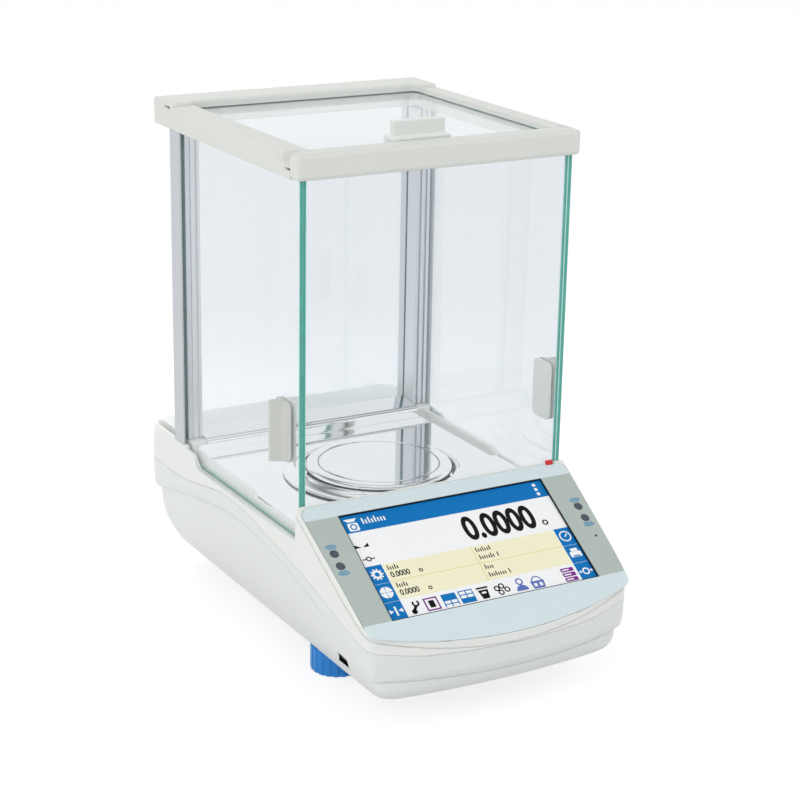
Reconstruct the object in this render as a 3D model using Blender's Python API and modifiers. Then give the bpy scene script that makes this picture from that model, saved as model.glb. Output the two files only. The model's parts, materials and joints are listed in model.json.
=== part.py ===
"""Analytical balance: sliding-door draft shield, round pan and a tilted touch terminal.

The origin is on the table under the middle of the housing. +X is the user's right,
+Y points to the back and +Z is up.
"""

import math

import bmesh
import bpy
from mathutils import Matrix, Vector

MM = 0.001

# Clearances
GAP = 0.3 * MM
SLIDE_GAP = 0.5 * MM

# How far a cutter reaches past the faces it opens
PAST = 5 * MM

# Edges flatter than this many degrees are shaded smooth and stay unrounded
SMOOTH_ANGLE = 40

# Housing plan
HOUSING_WIDTH = 206 * MM
HOUSING_DEPTH = 346 * MM
FRONT_TAPER = 5 * MM
TAPER_LENGTH = 132 * MM
NOSE_RADIUS = 256 * MM
NOSE_FILLET = 12 * MM
REAR_FILLET = 18 * MM
WALL = 3 * MM
WALL_DRAFT = 0.5 * MM

# Housing heights above the table
UNDERSIDE_Z = 17.5 * MM
SEAM_REAR_Z = 83 * MM
SEAM_CREST_Z = 94.5 * MM
SEAM_FRONT_Z = 49.5 * MM
STEP_REAR_Z = 56 * MM
STEP_CREST_Z = 80 * MM
STEP_FRONT_Z = 31.8 * MM
SILL_Z = 103.2 * MM
LEDGE_Z = 97.5 * MM
SHELF_Z = 110 * MM
REAR_SILL_Z = 106 * MM

# Parting line and overhang along the sides, set back from the nose
SEAM_CREST_SETBACK = 203 * MM
SEAM_REAR_RUN = 86.5 * MM
SEAM_FRONT_RUN = 195.5 * MM
STEP_CREST_SETBACK = 198 * MM
STEP_FRONT_RUN = 180 * MM
STEP_REAR_START = 153 * MM
STEP_REAR_FADE = 100 * MM
STEP_FRONT_END = 43 * MM
STEP_FRONT_FADE = 25 * MM

# Border of the rear shelf: a rounded rim, a riser and a slope up to the level middle
RIM_DROP = 7.4 * MM
RIM_WIDTH = 0.6 * MM
BORDER_DROP = 2.5 * MM
BORDER_WIDTH = 7 * MM
BORDER_ROUNDING = 0.7 * MM

# Lower housing: how far the walls draw in towards the underside
UNDERSIDE_WIDTH = 168 * MM
UNDERSIDE_FRONT_SET = 16 * MM
UNDERSIDE_REAR_SET = 7.5 * MM
UNDERSIDE_NOSE_RADIUS = 565 * MM
STEP_EDGE_SET = 3.5 * MM
STEP_REAR_DEPTH = 1.8 * MM
STEP_FRONT_DEPTH = 2.8 * MM
STEP_EDGE_RADIUS = 6 * MM
TRAY_BELLY = 2.2

# Terminal
TERMINAL_DEPTH = 107 * MM
TERMINAL_RISE = 30 * MM
PANEL_TILT = math.radians(31.2)
NOSE_HEIGHT = 6.3 * MM
BEZEL_THICKNESS = 5 * MM
BEZEL_RIM = 1.2 * MM
PANEL_THICKNESS = 1 * MM
PANEL_CORNER = 8 * MM
SCREEN_WIDTH = 154 * MM
SCREEN_HEIGHT = 84.8 * MM
SCREEN_FROM_TOP = 12.5 * MM
SCREEN_RECESS = 1.4 * MM
DISPLAY_THICKNESS = 7 * MM
BOARD_THICKNESS = 1.6 * MM
LENS_RADIUS = 2.8 * MM
LENS_FROM_SIDE = 10.2 * MM
LENS_PITCH = 9.9 * MM
LENS_FROM_TOP = 40.5 * MM

# Draft shield
GLASS = 3 * MM
SHIELD_WIDTH = 197.8 * MM
DOOR_LENGTH = 183 * MM
DOOR_LAP = 9 * MM
COLUMN_WIDTH = 10.7 * MM
COLUMN_DEPTH = 25 * MM
COLUMN_GROOVE = 1.6 * MM
PANE_INSERT = 3 * MM
REAR_GLASS_SETBACK = 14 * MM
GUIDE_THICKNESS = 1.2 * MM
GUIDE_DEPTH = 16 * MM
GUIDE_SINK = 6 * MM
SHELF_LEAD = 6.5 * MM
RAMP_LENGTH = 20 * MM
RAMP_LEAD = 29 * MM
SILL_RISE_SETBACK = 69 * MM
SILL_RISE = 8 * MM
SILL_SLOT_LENGTH = 20.5 * MM
SILL_SLOT_WIDTH = 2 * MM

# Top frame
FRAME_WIDTH = 205.4 * MM
FRAME_BOTTOM_Z = 329.2 * MM
FRAME_OVERHANG = 3.9 * MM
FRONT_BAR_HEIGHT = 16.6 * MM
FRONT_BAR_DEPTH = 16 * MM
REAR_BAR_HEIGHT = 18.5 * MM
REAR_BAR_SETBACK = 11 * MM
REAR_BAR_DEPTH = 27.6 * MM
REAR_BAR_EAR = 5 * MM
REAR_BAR_EDGE = 1.6 * MM
CORNER_CAP = 9 * MM
RAIL_HEIGHT = 16.6 * MM
RAIL_WIDTH = 14.7 * MM
RAIL_SLOT = 4.5 * MM
RAIL_LIP = 1 * MM
FRAME_EDGE = 2.6 * MM
RIB_COUNT = 4
RIB_PITCH = 1.8 * MM
RIB_GROOVE = 0.7 * MM
RIB_DEPTH = 0.5 * MM
RIB_REACH = 6 * MM
NOTCH_HEIGHT = 1.7 * MM
NOTCH_DEPTH = 1.6 * MM
FRONT_NOTCH_LENGTH = 7 * MM
FRONT_NOTCH_RISE = 5.4 * MM
REAR_NOTCH_LENGTH = 9 * MM
REAR_NOTCH_DROP = 4.6 * MM
TOP_GLASS_DROP = 3.7 * MM
TOP_GLASS_REAR_LAP = 11 * MM

# Door handles
PLATE_WIDTH = 21 * MM
PLATE_HEIGHT = 40.5 * MM
PLATE_THICKNESS = 1.4 * MM
PLATE_CORNER = 4.5 * MM
PLATE_BOTTOM_Z = 145.5 * MM
PLATE_SETBACK = 9 * MM
GRIP_REACH = 10 * MM
GRIP_THICKNESS = 3.2 * MM
GRIP_SWEEP = 4.5 * MM
GRIP_ROUNDING = 0.7 * MM
TOP_GRIP_WIDTH = 38 * MM
TOP_GRIP_HEIGHT = 12.6 * MM
TOP_GRIP_THICKNESS = 5 * MM
TOP_GRIP_SETBACK = 22 * MM
TOP_PLATE_WIDTH = 42 * MM
TOP_PLATE_DEPTH = 14 * MM
TOP_PLATE_THICKNESS = 2.4 * MM

# Weighing chamber
SHEET = 1.2 * MM
PAN_SETBACK = 74.6 * MM
PAN_RADIUS = 50.5 * MM
PAN_TOP_Z = 111.3 * MM
PAN_RIM = 4 * MM
PAN_GROOVE_RADIUS = 41.5 * MM
RING_RADIUS = 63.5 * MM
RING_RISE = 5.4 * MM
RING_INNER_GAP = 2 * MM
SPINDLE_RADIUS = 4.5 * MM
SPINDLE_HOLE_RADIUS = 8 * MM
FLOOR_WIDTH = 183 * MM
FLOOR_BEND = 2.2 * MM
UPSTAND_CORNER = 3.2 * MM
FLOOR_LEDGE_RISE = 2.5 * MM

# Feet
FOOT_RADIUS = 18 * MM
FOOT_X = 67.4 * MM
FOOT_SETBACK = 112 * MM
FOOT_RIBS = 20
STUD_RADIUS = 4 * MM
STUD_LENGTH = 26 * MM
STUD_SEAT = 8 * MM
REAR_FOOT_RADIUS = 13 * MM
REAR_FOOT_X = 46 * MM
REAR_FOOT_FROM_BACK = 52 * MM
INSERT_RADIUS = 8 * MM
INSERT_HEIGHT = 8 * MM

# Inside
BASE_PLATE_WIDTH = 104 * MM
BASE_PLATE_LENGTH = 250 * MM
BASE_PLATE_THICKNESS = 6 * MM
CELL_WIDTH = 48 * MM
CELL_LENGTH = 118 * MM
CELL_HEIGHT = 48 * MM
CELL_SLOT = 4 * MM
CELL_SLOT_LENGTH = 82 * MM
CELL_GUIDE = 7.6 * MM
CELL_POST = 30 * MM
CELL_OVERHANG = 18 * MM
WEIGHT_RADIUS = 10 * MM
WEIGHT_LENGTH = 26 * MM
MOTOR_RADIUS = 9 * MM
MOTOR_LENGTH = 34 * MM
MAIN_BOARD_WIDTH = 92 * MM
MAIN_BOARD_LENGTH = 62 * MM
BOSS_HEIGHT = 10 * MM
BOSS_RADIUS = 4 * MM

# Sockets
USB_WIDTH = 13.4 * MM
USB_HEIGHT = 6 * MM
USB_SHELL = 0.6 * MM
USB_TONGUE = 1.9 * MM
SOCKET_DEPTH = 14 * MM
SOCKET_BACK = 2 * MM
SOCKET_WALL = 1.3 * MM
BARREL_RADIUS = 3.2 * MM
BARREL_PIN_RADIUS = 1 * MM
NETWORK_KEY_WIDTH = 5.5 * MM
NETWORK_KEY_HEIGHT = 2.2 * MM
SERIAL_MOUTH_WIDTH = 17 * MM
SERIAL_MOUTH_HEIGHT = 8.4 * MM
SERIAL_MOUTH_SLANT = 1.3 * MM
SIDE_USB_FROM_FRONT = 54.5 * MM
SIDE_USB_Z = 34.2 * MM
REAR_SOCKET_Z = 71 * MM
STOP_WIDTH = 5 * MM
STOP_HEIGHT = 3.4 * MM

# Places worked out from the sizes above
HALF_WIDTH = HOUSING_WIDTH / 2
FRONT_Y = -HOUSING_DEPTH / 2
REAR_Y = HOUSING_DEPTH / 2
PANE_Y = FRONT_Y + TERMINAL_DEPTH
PANE_BACK_Y = PANE_Y + GLASS
TERMINAL_BACK_Y = PANE_Y - 2 * GAP
PANEL_TOP_Z = SEAM_FRONT_Z + NOSE_HEIGHT + (TERMINAL_BACK_Y - FRONT_Y) * math.tan(PANEL_TILT)
COLUMN_Y = PANE_Y + DOOR_LENGTH - DOOR_LAP
SHELF_Y = COLUMN_Y - SHELF_LEAD
REAR_GLASS_Y = COLUMN_Y + REAR_GLASS_SETBACK
DOOR_OUT = SHIELD_WIDTH / 2
DOOR_IN = DOOR_OUT - GLASS
CHANNEL_OUT = DOOR_OUT + SLIDE_GAP
CHANNEL_IN = DOOR_IN - SLIDE_GAP
COLUMN_OUT = CHANNEL_IN - GAP
COLUMN_IN = COLUMN_OUT - COLUMN_WIDTH
GUIDE_IN = CHANNEL_OUT + GAP
GUIDE_OUT = GUIDE_IN + GUIDE_THICKNESS
DOOR_BOTTOM_Z = LEDGE_Z + 2 * SLIDE_GAP
FRAME_HALF = FRAME_WIDTH / 2
FRAME_FRONT_Y = PANE_Y - FRAME_OVERHANG
FRONT_BAR_BACK_Y = FRAME_FRONT_Y + FRONT_BAR_DEPTH
REAR_BAR_Y = COLUMN_Y + REAR_BAR_SETBACK
REAR_BAR_BACK_Y = REAR_BAR_Y + REAR_BAR_DEPTH
RAIL_IN = FRAME_HALF - RAIL_WIDTH
SLOT_TOP_Z = FRAME_BOTTOM_Z + RAIL_SLOT + SLIDE_GAP
DOOR_TOP_Z = FRAME_BOTTOM_Z + RAIL_SLOT
TOP_GLASS_TOP_Z = FRAME_BOTTOM_Z + RAIL_HEIGHT - TOP_GLASS_DROP
TOP_GLASS_HALF = RAIL_IN + RAIL_SLOT - SLIDE_GAP
TOP_GLASS_Y = FRONT_BAR_BACK_Y - RAIL_SLOT + SLIDE_GAP
PAN_Y = PANE_Y + PAN_SETBACK
FLOOR_SEAT_Z = SILL_Z - SHEET - 2 * GAP
FLOOR_TOP_Z = FLOOR_SEAT_Z + GAP + SHEET
FLOOR_HALF = FLOOR_WIDTH / 2
INNER_FLOOR_Z = UNDERSIDE_Z + WALL
CEILING_Z = LEDGE_Z - WALL
FOOT_Y = FRONT_Y + FOOT_SETBACK
REAR_FOOT_Y = REAR_Y - REAR_FOOT_FROM_BACK
PLATE_TOP_Z = INNER_FLOOR_Z + GAP + BASE_PLATE_THICKNESS
CELL_FRONT_Y = PAN_Y - CELL_OVERHANG
CELL_TOP_Z = PLATE_TOP_Z + GAP + CELL_HEIGHT
MIRRORED = (("left", -1), ("right", 1))


def clear_scene():
    for item in list(bpy.data.objects):
        bpy.data.objects.remove(item, do_unlink=True)


def make_collection(name):
    collection = bpy.data.collections.new(name)
    bpy.context.scene.collection.children.link(collection)
    return collection


def make_material(name, colour, roughness, metallic=0.0, alpha=1.0):
    material = bpy.data.materials.new(name)
    material.use_nodes = True
    shader = material.node_tree.nodes["Principled BSDF"]
    shader.inputs["Base Color"].default_value = (*colour, 1.0)
    shader.inputs["Roughness"].default_value = roughness
    shader.inputs["Metallic"].default_value = metallic
    shader.inputs["Alpha"].default_value = alpha
    return material


def add_object(name, mesh, material=None):
    """A part of the balance when it has a material, otherwise a hidden cutter."""
    item = bpy.data.objects.new(name, mesh)
    if material is None:
        CUTTERS.objects.link(item)
        item.hide_render = True
        item.display_type = 'WIRE'
    else:
        mesh.materials.append(material)
        PARTS.objects.link(item)
    return item


def mesh_from(name, bm):
    mesh = bpy.data.meshes.new(name)
    bm.normal_update()
    bm.to_mesh(mesh)
    bm.free()
    return mesh


def box(name, low, high, material=None, edge=0.0, segments=2):
    """A block between two corners, with rounded edges where an edge radius is given."""
    bm = bmesh.new()
    bmesh.ops.create_cube(bm, size=1.0)
    low, high = Vector(low), Vector(high)
    bmesh.ops.scale(bm, vec=high - low, verts=bm.verts)
    item = add_object(name, mesh_from(name, bm), material)
    item.location = (low + high) / 2
    if edge:
        round_edges(item, edge, segments)
    return item


def side_box(name, side, low, high, material=None, edge=0.0):
    """A block given for the right side, mirrored to the left where side is -1."""
    inner, outer = sorted((side * low[0], side * high[0]))
    return box(name, (inner, low[1], low[2]), (outer, high[1], high[2]), material, edge)


def round_edges(item, radius, segments=2, angle=SMOOTH_ANGLE):
    bevel = item.modifiers.new("rounded edges", 'BEVEL')
    bevel.width = radius
    bevel.segments = segments
    bevel.limit_method = 'ANGLE'
    bevel.angle_limit = math.radians(angle)


def combine(item, other, operation='DIFFERENCE'):
    boolean = item.modifiers.new(other.name, 'BOOLEAN')
    boolean.object = other
    boolean.operation = operation


SIDE_VIEW = Matrix(((0, 0, 1, 0), (1, 0, 0, 0), (0, 1, 0, 0), (0, 0, 0, 1)))
FRONT_VIEW = Matrix(((1, 0, 0, 0), (0, 0, -1, 0), (0, 1, 0, 0), (0, 0, 0, 1)))


def outline_solid(name, points, depth, place, material=None):
    """A flat outline given some depth, half to each side of its plane."""
    curve = bpy.data.curves.new(name, 'CURVE')
    curve.dimensions = '2D'
    curve.fill_mode = 'BOTH'
    curve.extrude = depth / 2
    spline = curve.splines.new('POLY')
    spline.points.add(len(points) - 1)
    for point, (u, v) in zip(spline.points, points):
        point.co = (u, v, 0.0, 1.0)
    spline.use_cyclic_u = True
    sketch = bpy.data.objects.new(name + " sketch", curve)
    bpy.context.scene.collection.objects.link(sketch)
    bpy.context.view_layer.update()
    evaluated = sketch.evaluated_get(bpy.context.evaluated_depsgraph_get())
    mesh = bpy.data.meshes.new_from_object(evaluated)
    mesh.name = name
    bm = bmesh.new()
    bm.from_mesh(mesh)
    bmesh.ops.remove_doubles(bm, verts=bm.verts, dist=0.001 * MM)
    bmesh.ops.recalc_face_normals(bm, faces=bm.faces)
    bm.to_mesh(mesh)
    bm.free()
    mesh.set_sharp_from_angle(angle=math.radians(SMOOTH_ANGLE))
    bpy.data.objects.remove(sketch, do_unlink=True)
    item = add_object(name, mesh, material)
    item.matrix_world = place
    return item


def turned(name, profile, centre, material=None, steps=48):
    """A profile of (radius, height) points, run down the outer side, turned about Z."""
    bm = bmesh.new()
    points = [bm.verts.new((radius, 0.0, height)) for radius, height in profile]
    closed = profile[0][0] > 0
    pairs = list(zip(points, points[1:]))
    if closed:
        pairs.append((points[-1], points[0]))
    for pair in pairs:
        bm.edges.new(pair)
    item = add_object(name, mesh_from(name, bm), material)
    item.location = centre
    screw = item.modifiers.new("turn", 'SCREW')
    screw.steps = steps
    screw.render_steps = steps
    screw.use_merge_vertices = True
    screw.merge_threshold = 0.001 * MM
    screw.use_smooth_shade = True
    return item


def arc(centre, radius, start, end, steps):
    """Points on an arc in degrees, both ends included."""
    angles = [math.radians(start + (end - start) * i / steps) for i in range(steps + 1)]
    return [(centre[0] + radius * math.cos(a), centre[1] + radius * math.sin(a)) for a in angles]


def smooth_step(value):
    value = min(max(value, 0.0), 1.0)
    return value * value * (3 - 2 * value)


def mix(a, b, share):
    return a + (b - a) * share


def side_half_width(y):
    """Half the housing's width: full at the back, slightly tapered towards the terminal."""
    start = FRONT_Y + TAPER_LENGTH
    share = min(max((start - y) / TAPER_LENGTH, 0.0), 1.0)
    return HALF_WIDTH - FRONT_TAPER * share


def seam_z(y):
    """Height of the parting line: level at the back, a crest amidships, falling to the nose."""
    crest_y = FRONT_Y + SEAM_CREST_SETBACK
    if y > crest_y:
        return mix(SEAM_CREST_Z, SEAM_REAR_Z, smooth_step((y - crest_y) / SEAM_REAR_RUN))
    fall = min((crest_y - y) / SEAM_FRONT_RUN, 1.0)
    return mix(SEAM_CREST_Z, SEAM_FRONT_Z, fall ** 1.65)


def step_z(y):
    """Height of the overhang's lower edge."""
    crest_y = FRONT_Y + STEP_CREST_SETBACK
    if y > crest_y:
        return mix(STEP_CREST_Z, STEP_REAR_Z, ((y - crest_y) / (REAR_Y - crest_y)) ** 1.5)
    fall = min((crest_y - y) / STEP_FRONT_RUN, 1.0)
    return mix(STEP_CREST_Z, STEP_FRONT_Z, fall ** 2)


def step_depth(y):
    """The step is deep at the back, fades out along the side and returns on the nose."""
    rear = smooth_step((y - FRONT_Y - STEP_REAR_START) / STEP_REAR_FADE)
    front = smooth_step((FRONT_Y + STEP_FRONT_END - y) / STEP_FRONT_FADE)
    return STEP_REAR_DEPTH * rear + STEP_FRONT_DEPTH * front


def plan_half(half_width, front_y, rear_y, nose_radius, nose_fillet, rear_fillet):
    """Right half of a plan outline, from the middle of the back round to the middle of the nose."""
    rear_width = half_width(rear_y)
    points = [(0.0, rear_y)]
    points += arc((rear_width - rear_fillet, rear_y - rear_fillet), rear_fillet, 90, 0, 5)
    nose_y = front_y + nose_radius
    fillet_x = half_width(front_y) - nose_fillet
    fillet_y = nose_y - math.sqrt((nose_radius - nose_fillet) ** 2 - fillet_x ** 2)
    start_y = rear_y - rear_fillet
    side_steps = 16
    for i in range(1, side_steps):
        y = mix(start_y, fillet_y, i / side_steps)
        points.append((half_width(y), y))
    turn = math.degrees(math.atan2(fillet_y - nose_y, fillet_x))
    points += arc((fillet_x, fillet_y), nose_fillet, 0, turn, 4)
    points += arc((0.0, nose_y), nose_radius, turn, -90, 6)[1:]
    return points


def ring_stack(name, rings, material=None):
    """Closed body through a stack of plan rings, each a right half mirrored to the left."""
    bm = bmesh.new()
    loops = []
    for half in rings:
        right = [bm.verts.new(point) for point in half]
        left = [bm.verts.new((-x, y, z)) for x, y, z in half[1:-1]]
        loops.append((right, [right[0]] + left + [right[-1]]))
    for (right_a, left_a), (right_b, left_b) in zip(loops, loops[1:]):
        for i in range(len(right_a) - 1):
            bm.faces.new((right_a[i], right_a[i + 1], right_b[i + 1], right_b[i]))
            bm.faces.new((left_a[i + 1], left_a[i], left_b[i], left_b[i + 1]))
    for right, left in (loops[0], loops[-1]):
        # Strips across the width; the first takes in the straight back, the last ends on the nose.
        bm.faces.new((right[0], right[1], right[2], left[2], left[1]))
        for i in range(2, len(right) - 2):
            bm.faces.new((right[i], right[i + 1], left[i + 1], left[i]))
        bm.faces.new((right[-2], right[-1], left[-2]))
    bmesh.ops.recalc_face_normals(bm, faces=bm.faces)
    return add_object(name, mesh_from(name, bm), material)


def level_ring(inset, z, nose_radius=NOSE_RADIUS):
    """A ring of the main plan, drawn in by inset, at one height or a height per y."""
    half = plan_half(lambda y: side_half_width(y) - inset, FRONT_Y + inset, REAR_Y - inset,
                     nose_radius, max(NOSE_FILLET - inset, 2 * MM), max(REAR_FILLET - inset, 2 * MM))
    height = z if callable(z) else lambda y: z
    return [(x, y, height(y)) for x, y in half]


def tray_half_width(y, down):
    """Half the lower housing's width; down is 0 at the overhang and 1 at the underside."""
    top = side_half_width(y) - STEP_EDGE_SET - step_depth(y)
    return mix(top, UNDERSIDE_WIDTH / 2, down ** TRAY_BELLY)


def lower_ring(down, inset):
    """A ring of the lower housing's bellied wall."""
    draw = down ** TRAY_BELLY
    front = STEP_FRONT_DEPTH + mix(0, UNDERSIDE_FRONT_SET - STEP_FRONT_DEPTH, draw) + inset
    rear = STEP_EDGE_SET + STEP_REAR_DEPTH
    rear = mix(rear, UNDERSIDE_REAR_SET, draw) + inset
    nose_radius = mix(NOSE_RADIUS, UNDERSIDE_NOSE_RADIUS, draw)
    rear_fillet = REAR_FILLET - STEP_EDGE_SET - STEP_REAR_DEPTH - inset
    half = plan_half(lambda y: tray_half_width(y, down) - inset, FRONT_Y + front, REAR_Y - rear,
                     nose_radius, NOSE_FILLET - inset, rear_fillet)
    return [(x, y, mix(step_z(y), UNDERSIDE_Z, down)) for x, y in half]


def make_base_tray():
    """Lower housing: a band under the parting line, an overhanging step and a bellied tray."""
    rings = [level_ring(0.0, lambda y: seam_z(y) - GAP / 2)]
    rings.append(level_ring(0.4 * MM, lambda y: step_z(y) + STEP_EDGE_RADIUS))
    rings.append(level_ring(1.4 * MM, lambda y: step_z(y) + 0.35 * STEP_EDGE_RADIUS))
    rings.append(level_ring(STEP_EDGE_SET, step_z))
    rings += [lower_ring(down, 0.0) for down in (0.02, 0.3, 0.55, 0.78, 1.0)]
    tray = ring_stack("base_tray", rings, PLASTIC_LOWER)

    def hollow(y):
        return step_z(y) + STEP_EDGE_RADIUS

    hollow_rings = [level_ring(WALL, lambda y: seam_z(y) + 10 * MM), level_ring(WALL + 1.4 * MM, hollow)]
    hollow_rings += [lower_ring(down, WALL) for down in (0.05, 0.3, 0.55, 0.78)]
    floor = [(x, y, INNER_FLOOR_Z) for x, y, z in lower_ring(0.96, WALL)]
    cavity = ring_stack("tray hollow", hollow_rings + [floor])
    combine(tray, cavity)
    for name, side in MIRRORED:
        hole = turned("stud hole " + name, cylinder_profile(STUD_RADIUS + GAP, 40 * MM),
                      (side * FOOT_X, FOOT_Y, UNDERSIDE_Z - 10 * MM), steps=24)
        combine(tray, hole)
    combine(tray, side_usb_block("side socket hole", GAP))
    for name, width, height, x in REAR_SOCKETS:
        combine(tray, rear_socket_block(name + " hole", width, height, x, GAP))
    return tray


def cylinder_profile(radius, height, chamfer=0.0):
    if chamfer:
        return [(0.0, height), (radius - chamfer, height), (radius, height - chamfer),
                (radius, chamfer), (radius - chamfer, 0.0), (0.0, 0.0)]
    return [(0.0, height), (radius, height), (radius, 0.0), (0.0, 0.0)]


def panel_plane_z(y):
    return PANEL_TOP_Z + (y - TERMINAL_BACK_Y) * math.tan(PANEL_TILT)


def slope_prism(name, above, below, back_y=TERMINAL_BACK_Y):
    """A slab along the panel's slope, between two heights measured square to it."""
    front_y = FRONT_Y - 20 * MM
    rise = 1 / math.cos(PANEL_TILT)
    front_z, back_z = panel_plane_z(front_y), panel_plane_z(back_y)
    points = [(front_y, front_z + below * rise), (back_y, back_z + below * rise),
              (back_y, back_z + above * rise), (front_y, front_z + above * rise)]
    return outline_solid(name, points, 2 * HOUSING_WIDTH, SIDE_VIEW)


def panel_place(u, v, out):
    """A place on the panel: u across, v up the slope from its back edge, out square to it."""
    c, s = math.cos(PANEL_TILT), math.sin(PANEL_TILT)
    origin = Vector((0.0, TERMINAL_BACK_Y, PANEL_TOP_Z))
    shift = Matrix(((1, 0, 0), (0, c, -s), (0, s, c)))
    turn = shift.to_4x4()
    return Matrix.Translation(origin + shift @ Vector((u, v, out))) @ turn


def panel_block(name, width, height, v, top, bottom, material=None, edge=0.0):
    """A block lying on the panel's slope, centred across it."""
    block = box(name, (-width / 2, -height / 2, -(top - bottom) / 2),
                (width / 2, height / 2, (top - bottom) / 2), material, edge)
    block.matrix_world = panel_place(0.0, v, (top + bottom) / 2)
    return block


def cover_loft(name, inset=0.0, bottom=None, material=None):
    """The upper housing's outer walls, stepped round the shelf and tall at the terminal."""
    start = bottom or (lambda y: seam_z(y) + GAP / 2)

    def top(y):
        return SHELF_Z if y > mix(PANE_Y, SHELF_Y, 0.5) else SHELF_Z + TERMINAL_RISE

    soft = BORDER_ROUNDING
    steps = ((0.0, RIM_DROP + soft), (soft / 2, RIM_DROP), (RIM_WIDTH, RIM_DROP - soft / 4),
             (RIM_WIDTH + soft / 3, BORDER_DROP + soft), (RIM_WIDTH + soft, BORDER_DROP),
             (BORDER_WIDTH, 0.0))
    rings = [level_ring(inset, start)]
    for draw, drop in steps:
        rings.append(level_ring(inset + WALL_DRAFT + draw, lambda y, drop=drop: top(y) - drop))
    return ring_stack(name, rings, material)


def ramp(low_z, high_z):
    """A smooth rise from the door ledge to the shelf, as (y, z) points from front to back."""
    start = COLUMN_Y - RAMP_LEAD
    count = 8
    return [(start + RAMP_LENGTH * i / count, mix(low_z, high_z, smooth_step(i / count)))
            for i in range(count + 1)]


def make_top_cover():
    """Upper housing: terminal body, chamber seat with door channels, and the rear shelf."""
    cover = cover_loft("top_cover", material=PLASTIC_UPPER)
    far = REAR_Y + 40 * MM
    high = SHELF_Z + 60 * MM
    rise_y = PANE_Y + SILL_RISE_SETBACK
    chamber = [(TERMINAL_BACK_Y, SILL_Z), (rise_y, SILL_Z), (rise_y + SILL_RISE, REAR_SILL_Z),
               (SHELF_Y, REAR_SILL_Z)]
    bend = FLOOR_BEND - GAP
    chamber += arc((SHELF_Y + bend, SHELF_Z - bend), bend, 180, 90, 4)
    chamber += [(SHELF_Y + bend, high), (TERMINAL_BACK_Y, high)]
    combine(cover, outline_solid("chamber cut", chamber, 2 * HOUSING_WIDTH, SIDE_VIEW))
    combine(cover, slope_prism("terminal slope cut", 90 * MM, -BEZEL_THICKNESS - GAP, PANE_Y))
    combine(cover, box("floor plate seat", (-FLOOR_HALF - GAP, PANE_BACK_Y, FLOOR_SEAT_Z),
                       (FLOOR_HALF + GAP, SHELF_Y, high)))
    combine(cover, box("pane seat", (-CHANNEL_IN, TERMINAL_BACK_Y, FLOOR_SEAT_Z),
                       (CHANNEL_IN, PANE_BACK_Y + GAP, high)))
    for name, side in MIRRORED:
        ledge = ramp(LEDGE_Z, SHELF_Z + 1 * MM)
        ledge = [(TERMINAL_BACK_Y, LEDGE_Z)] + ledge + [(ledge[-1][0], high), (TERMINAL_BACK_Y, high)]
        width = 30 * MM
        place = Matrix.Translation((side * (CHANNEL_IN + width / 2), 0, 0)) @ SIDE_VIEW
        combine(cover, outline_solid("door ledge " + name, ledge, width, place))
        combine(cover, side_box("door channel " + name, side, (CHANNEL_IN, PANE_Y, LEDGE_Z),
                                (CHANNEL_OUT, far, high)))
        slot_y = rise_y - 1 * MM
        combine(cover, side_box("sill slot " + name, side,
                                (FLOOR_HALF - 1 * MM, slot_y - SILL_SLOT_LENGTH, FLOOR_SEAT_Z),
                                (FLOOR_HALF + GAP + SILL_SLOT_WIDTH, slot_y, high)))
        combine(cover, side_box("guide pocket " + name, side,
                                (CHANNEL_OUT - GAP, COLUMN_Y - GAP, SHELF_Z - GUIDE_SINK - GAP),
                                (GUIDE_OUT + GAP, COLUMN_Y + GUIDE_DEPTH + GAP, high)))
    combine(cover, make_cover_hollow())
    rear_hollow = box("shelf hollow", (-COLUMN_IN, SHELF_Y + WALL, CEILING_Z - 5 * MM),
                      (COLUMN_IN, REAR_Y - 2 * WALL, SHELF_Z - WALL))
    combine(cover, rear_hollow)
    combine(cover, turned("spindle hole", cylinder_profile(SPINDLE_HOLE_RADIUS, 60 * MM),
                          (0, PAN_Y, FLOOR_SEAT_Z - 40 * MM), steps=24))
    combine(cover, panel_block("display opening", SCREEN_WIDTH + 4 * GAP, SCREEN_HEIGHT + 4 * GAP,
                               screen_v(), 20 * MM, -30 * MM))
    return cover


def make_cover_hollow():
    """The room inside the upper housing, open below and roofed under the floor and the panel."""
    hollow = cover_loft("cover hollow", WALL, lambda y: seam_z(y) - 10 * MM)
    low = 0.0
    roof = -(BEZEL_THICKNESS + GAP + WALL) / math.cos(PANEL_TILT)
    ridge_y = TERMINAL_BACK_Y - WALL
    front_y = FRONT_Y - 20 * MM
    points = [(front_y, low), (REAR_Y, low), (REAR_Y, CEILING_Z), (ridge_y, CEILING_Z),
              (ridge_y, panel_plane_z(ridge_y) + roof), (front_y, panel_plane_z(front_y) + roof)]
    combine(hollow, outline_solid("room inside", points, 2 * HOUSING_WIDTH, SIDE_VIEW), 'INTERSECT')
    return hollow


def screen_v():
    return -SCREEN_FROM_TOP - SCREEN_HEIGHT / 2


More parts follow.
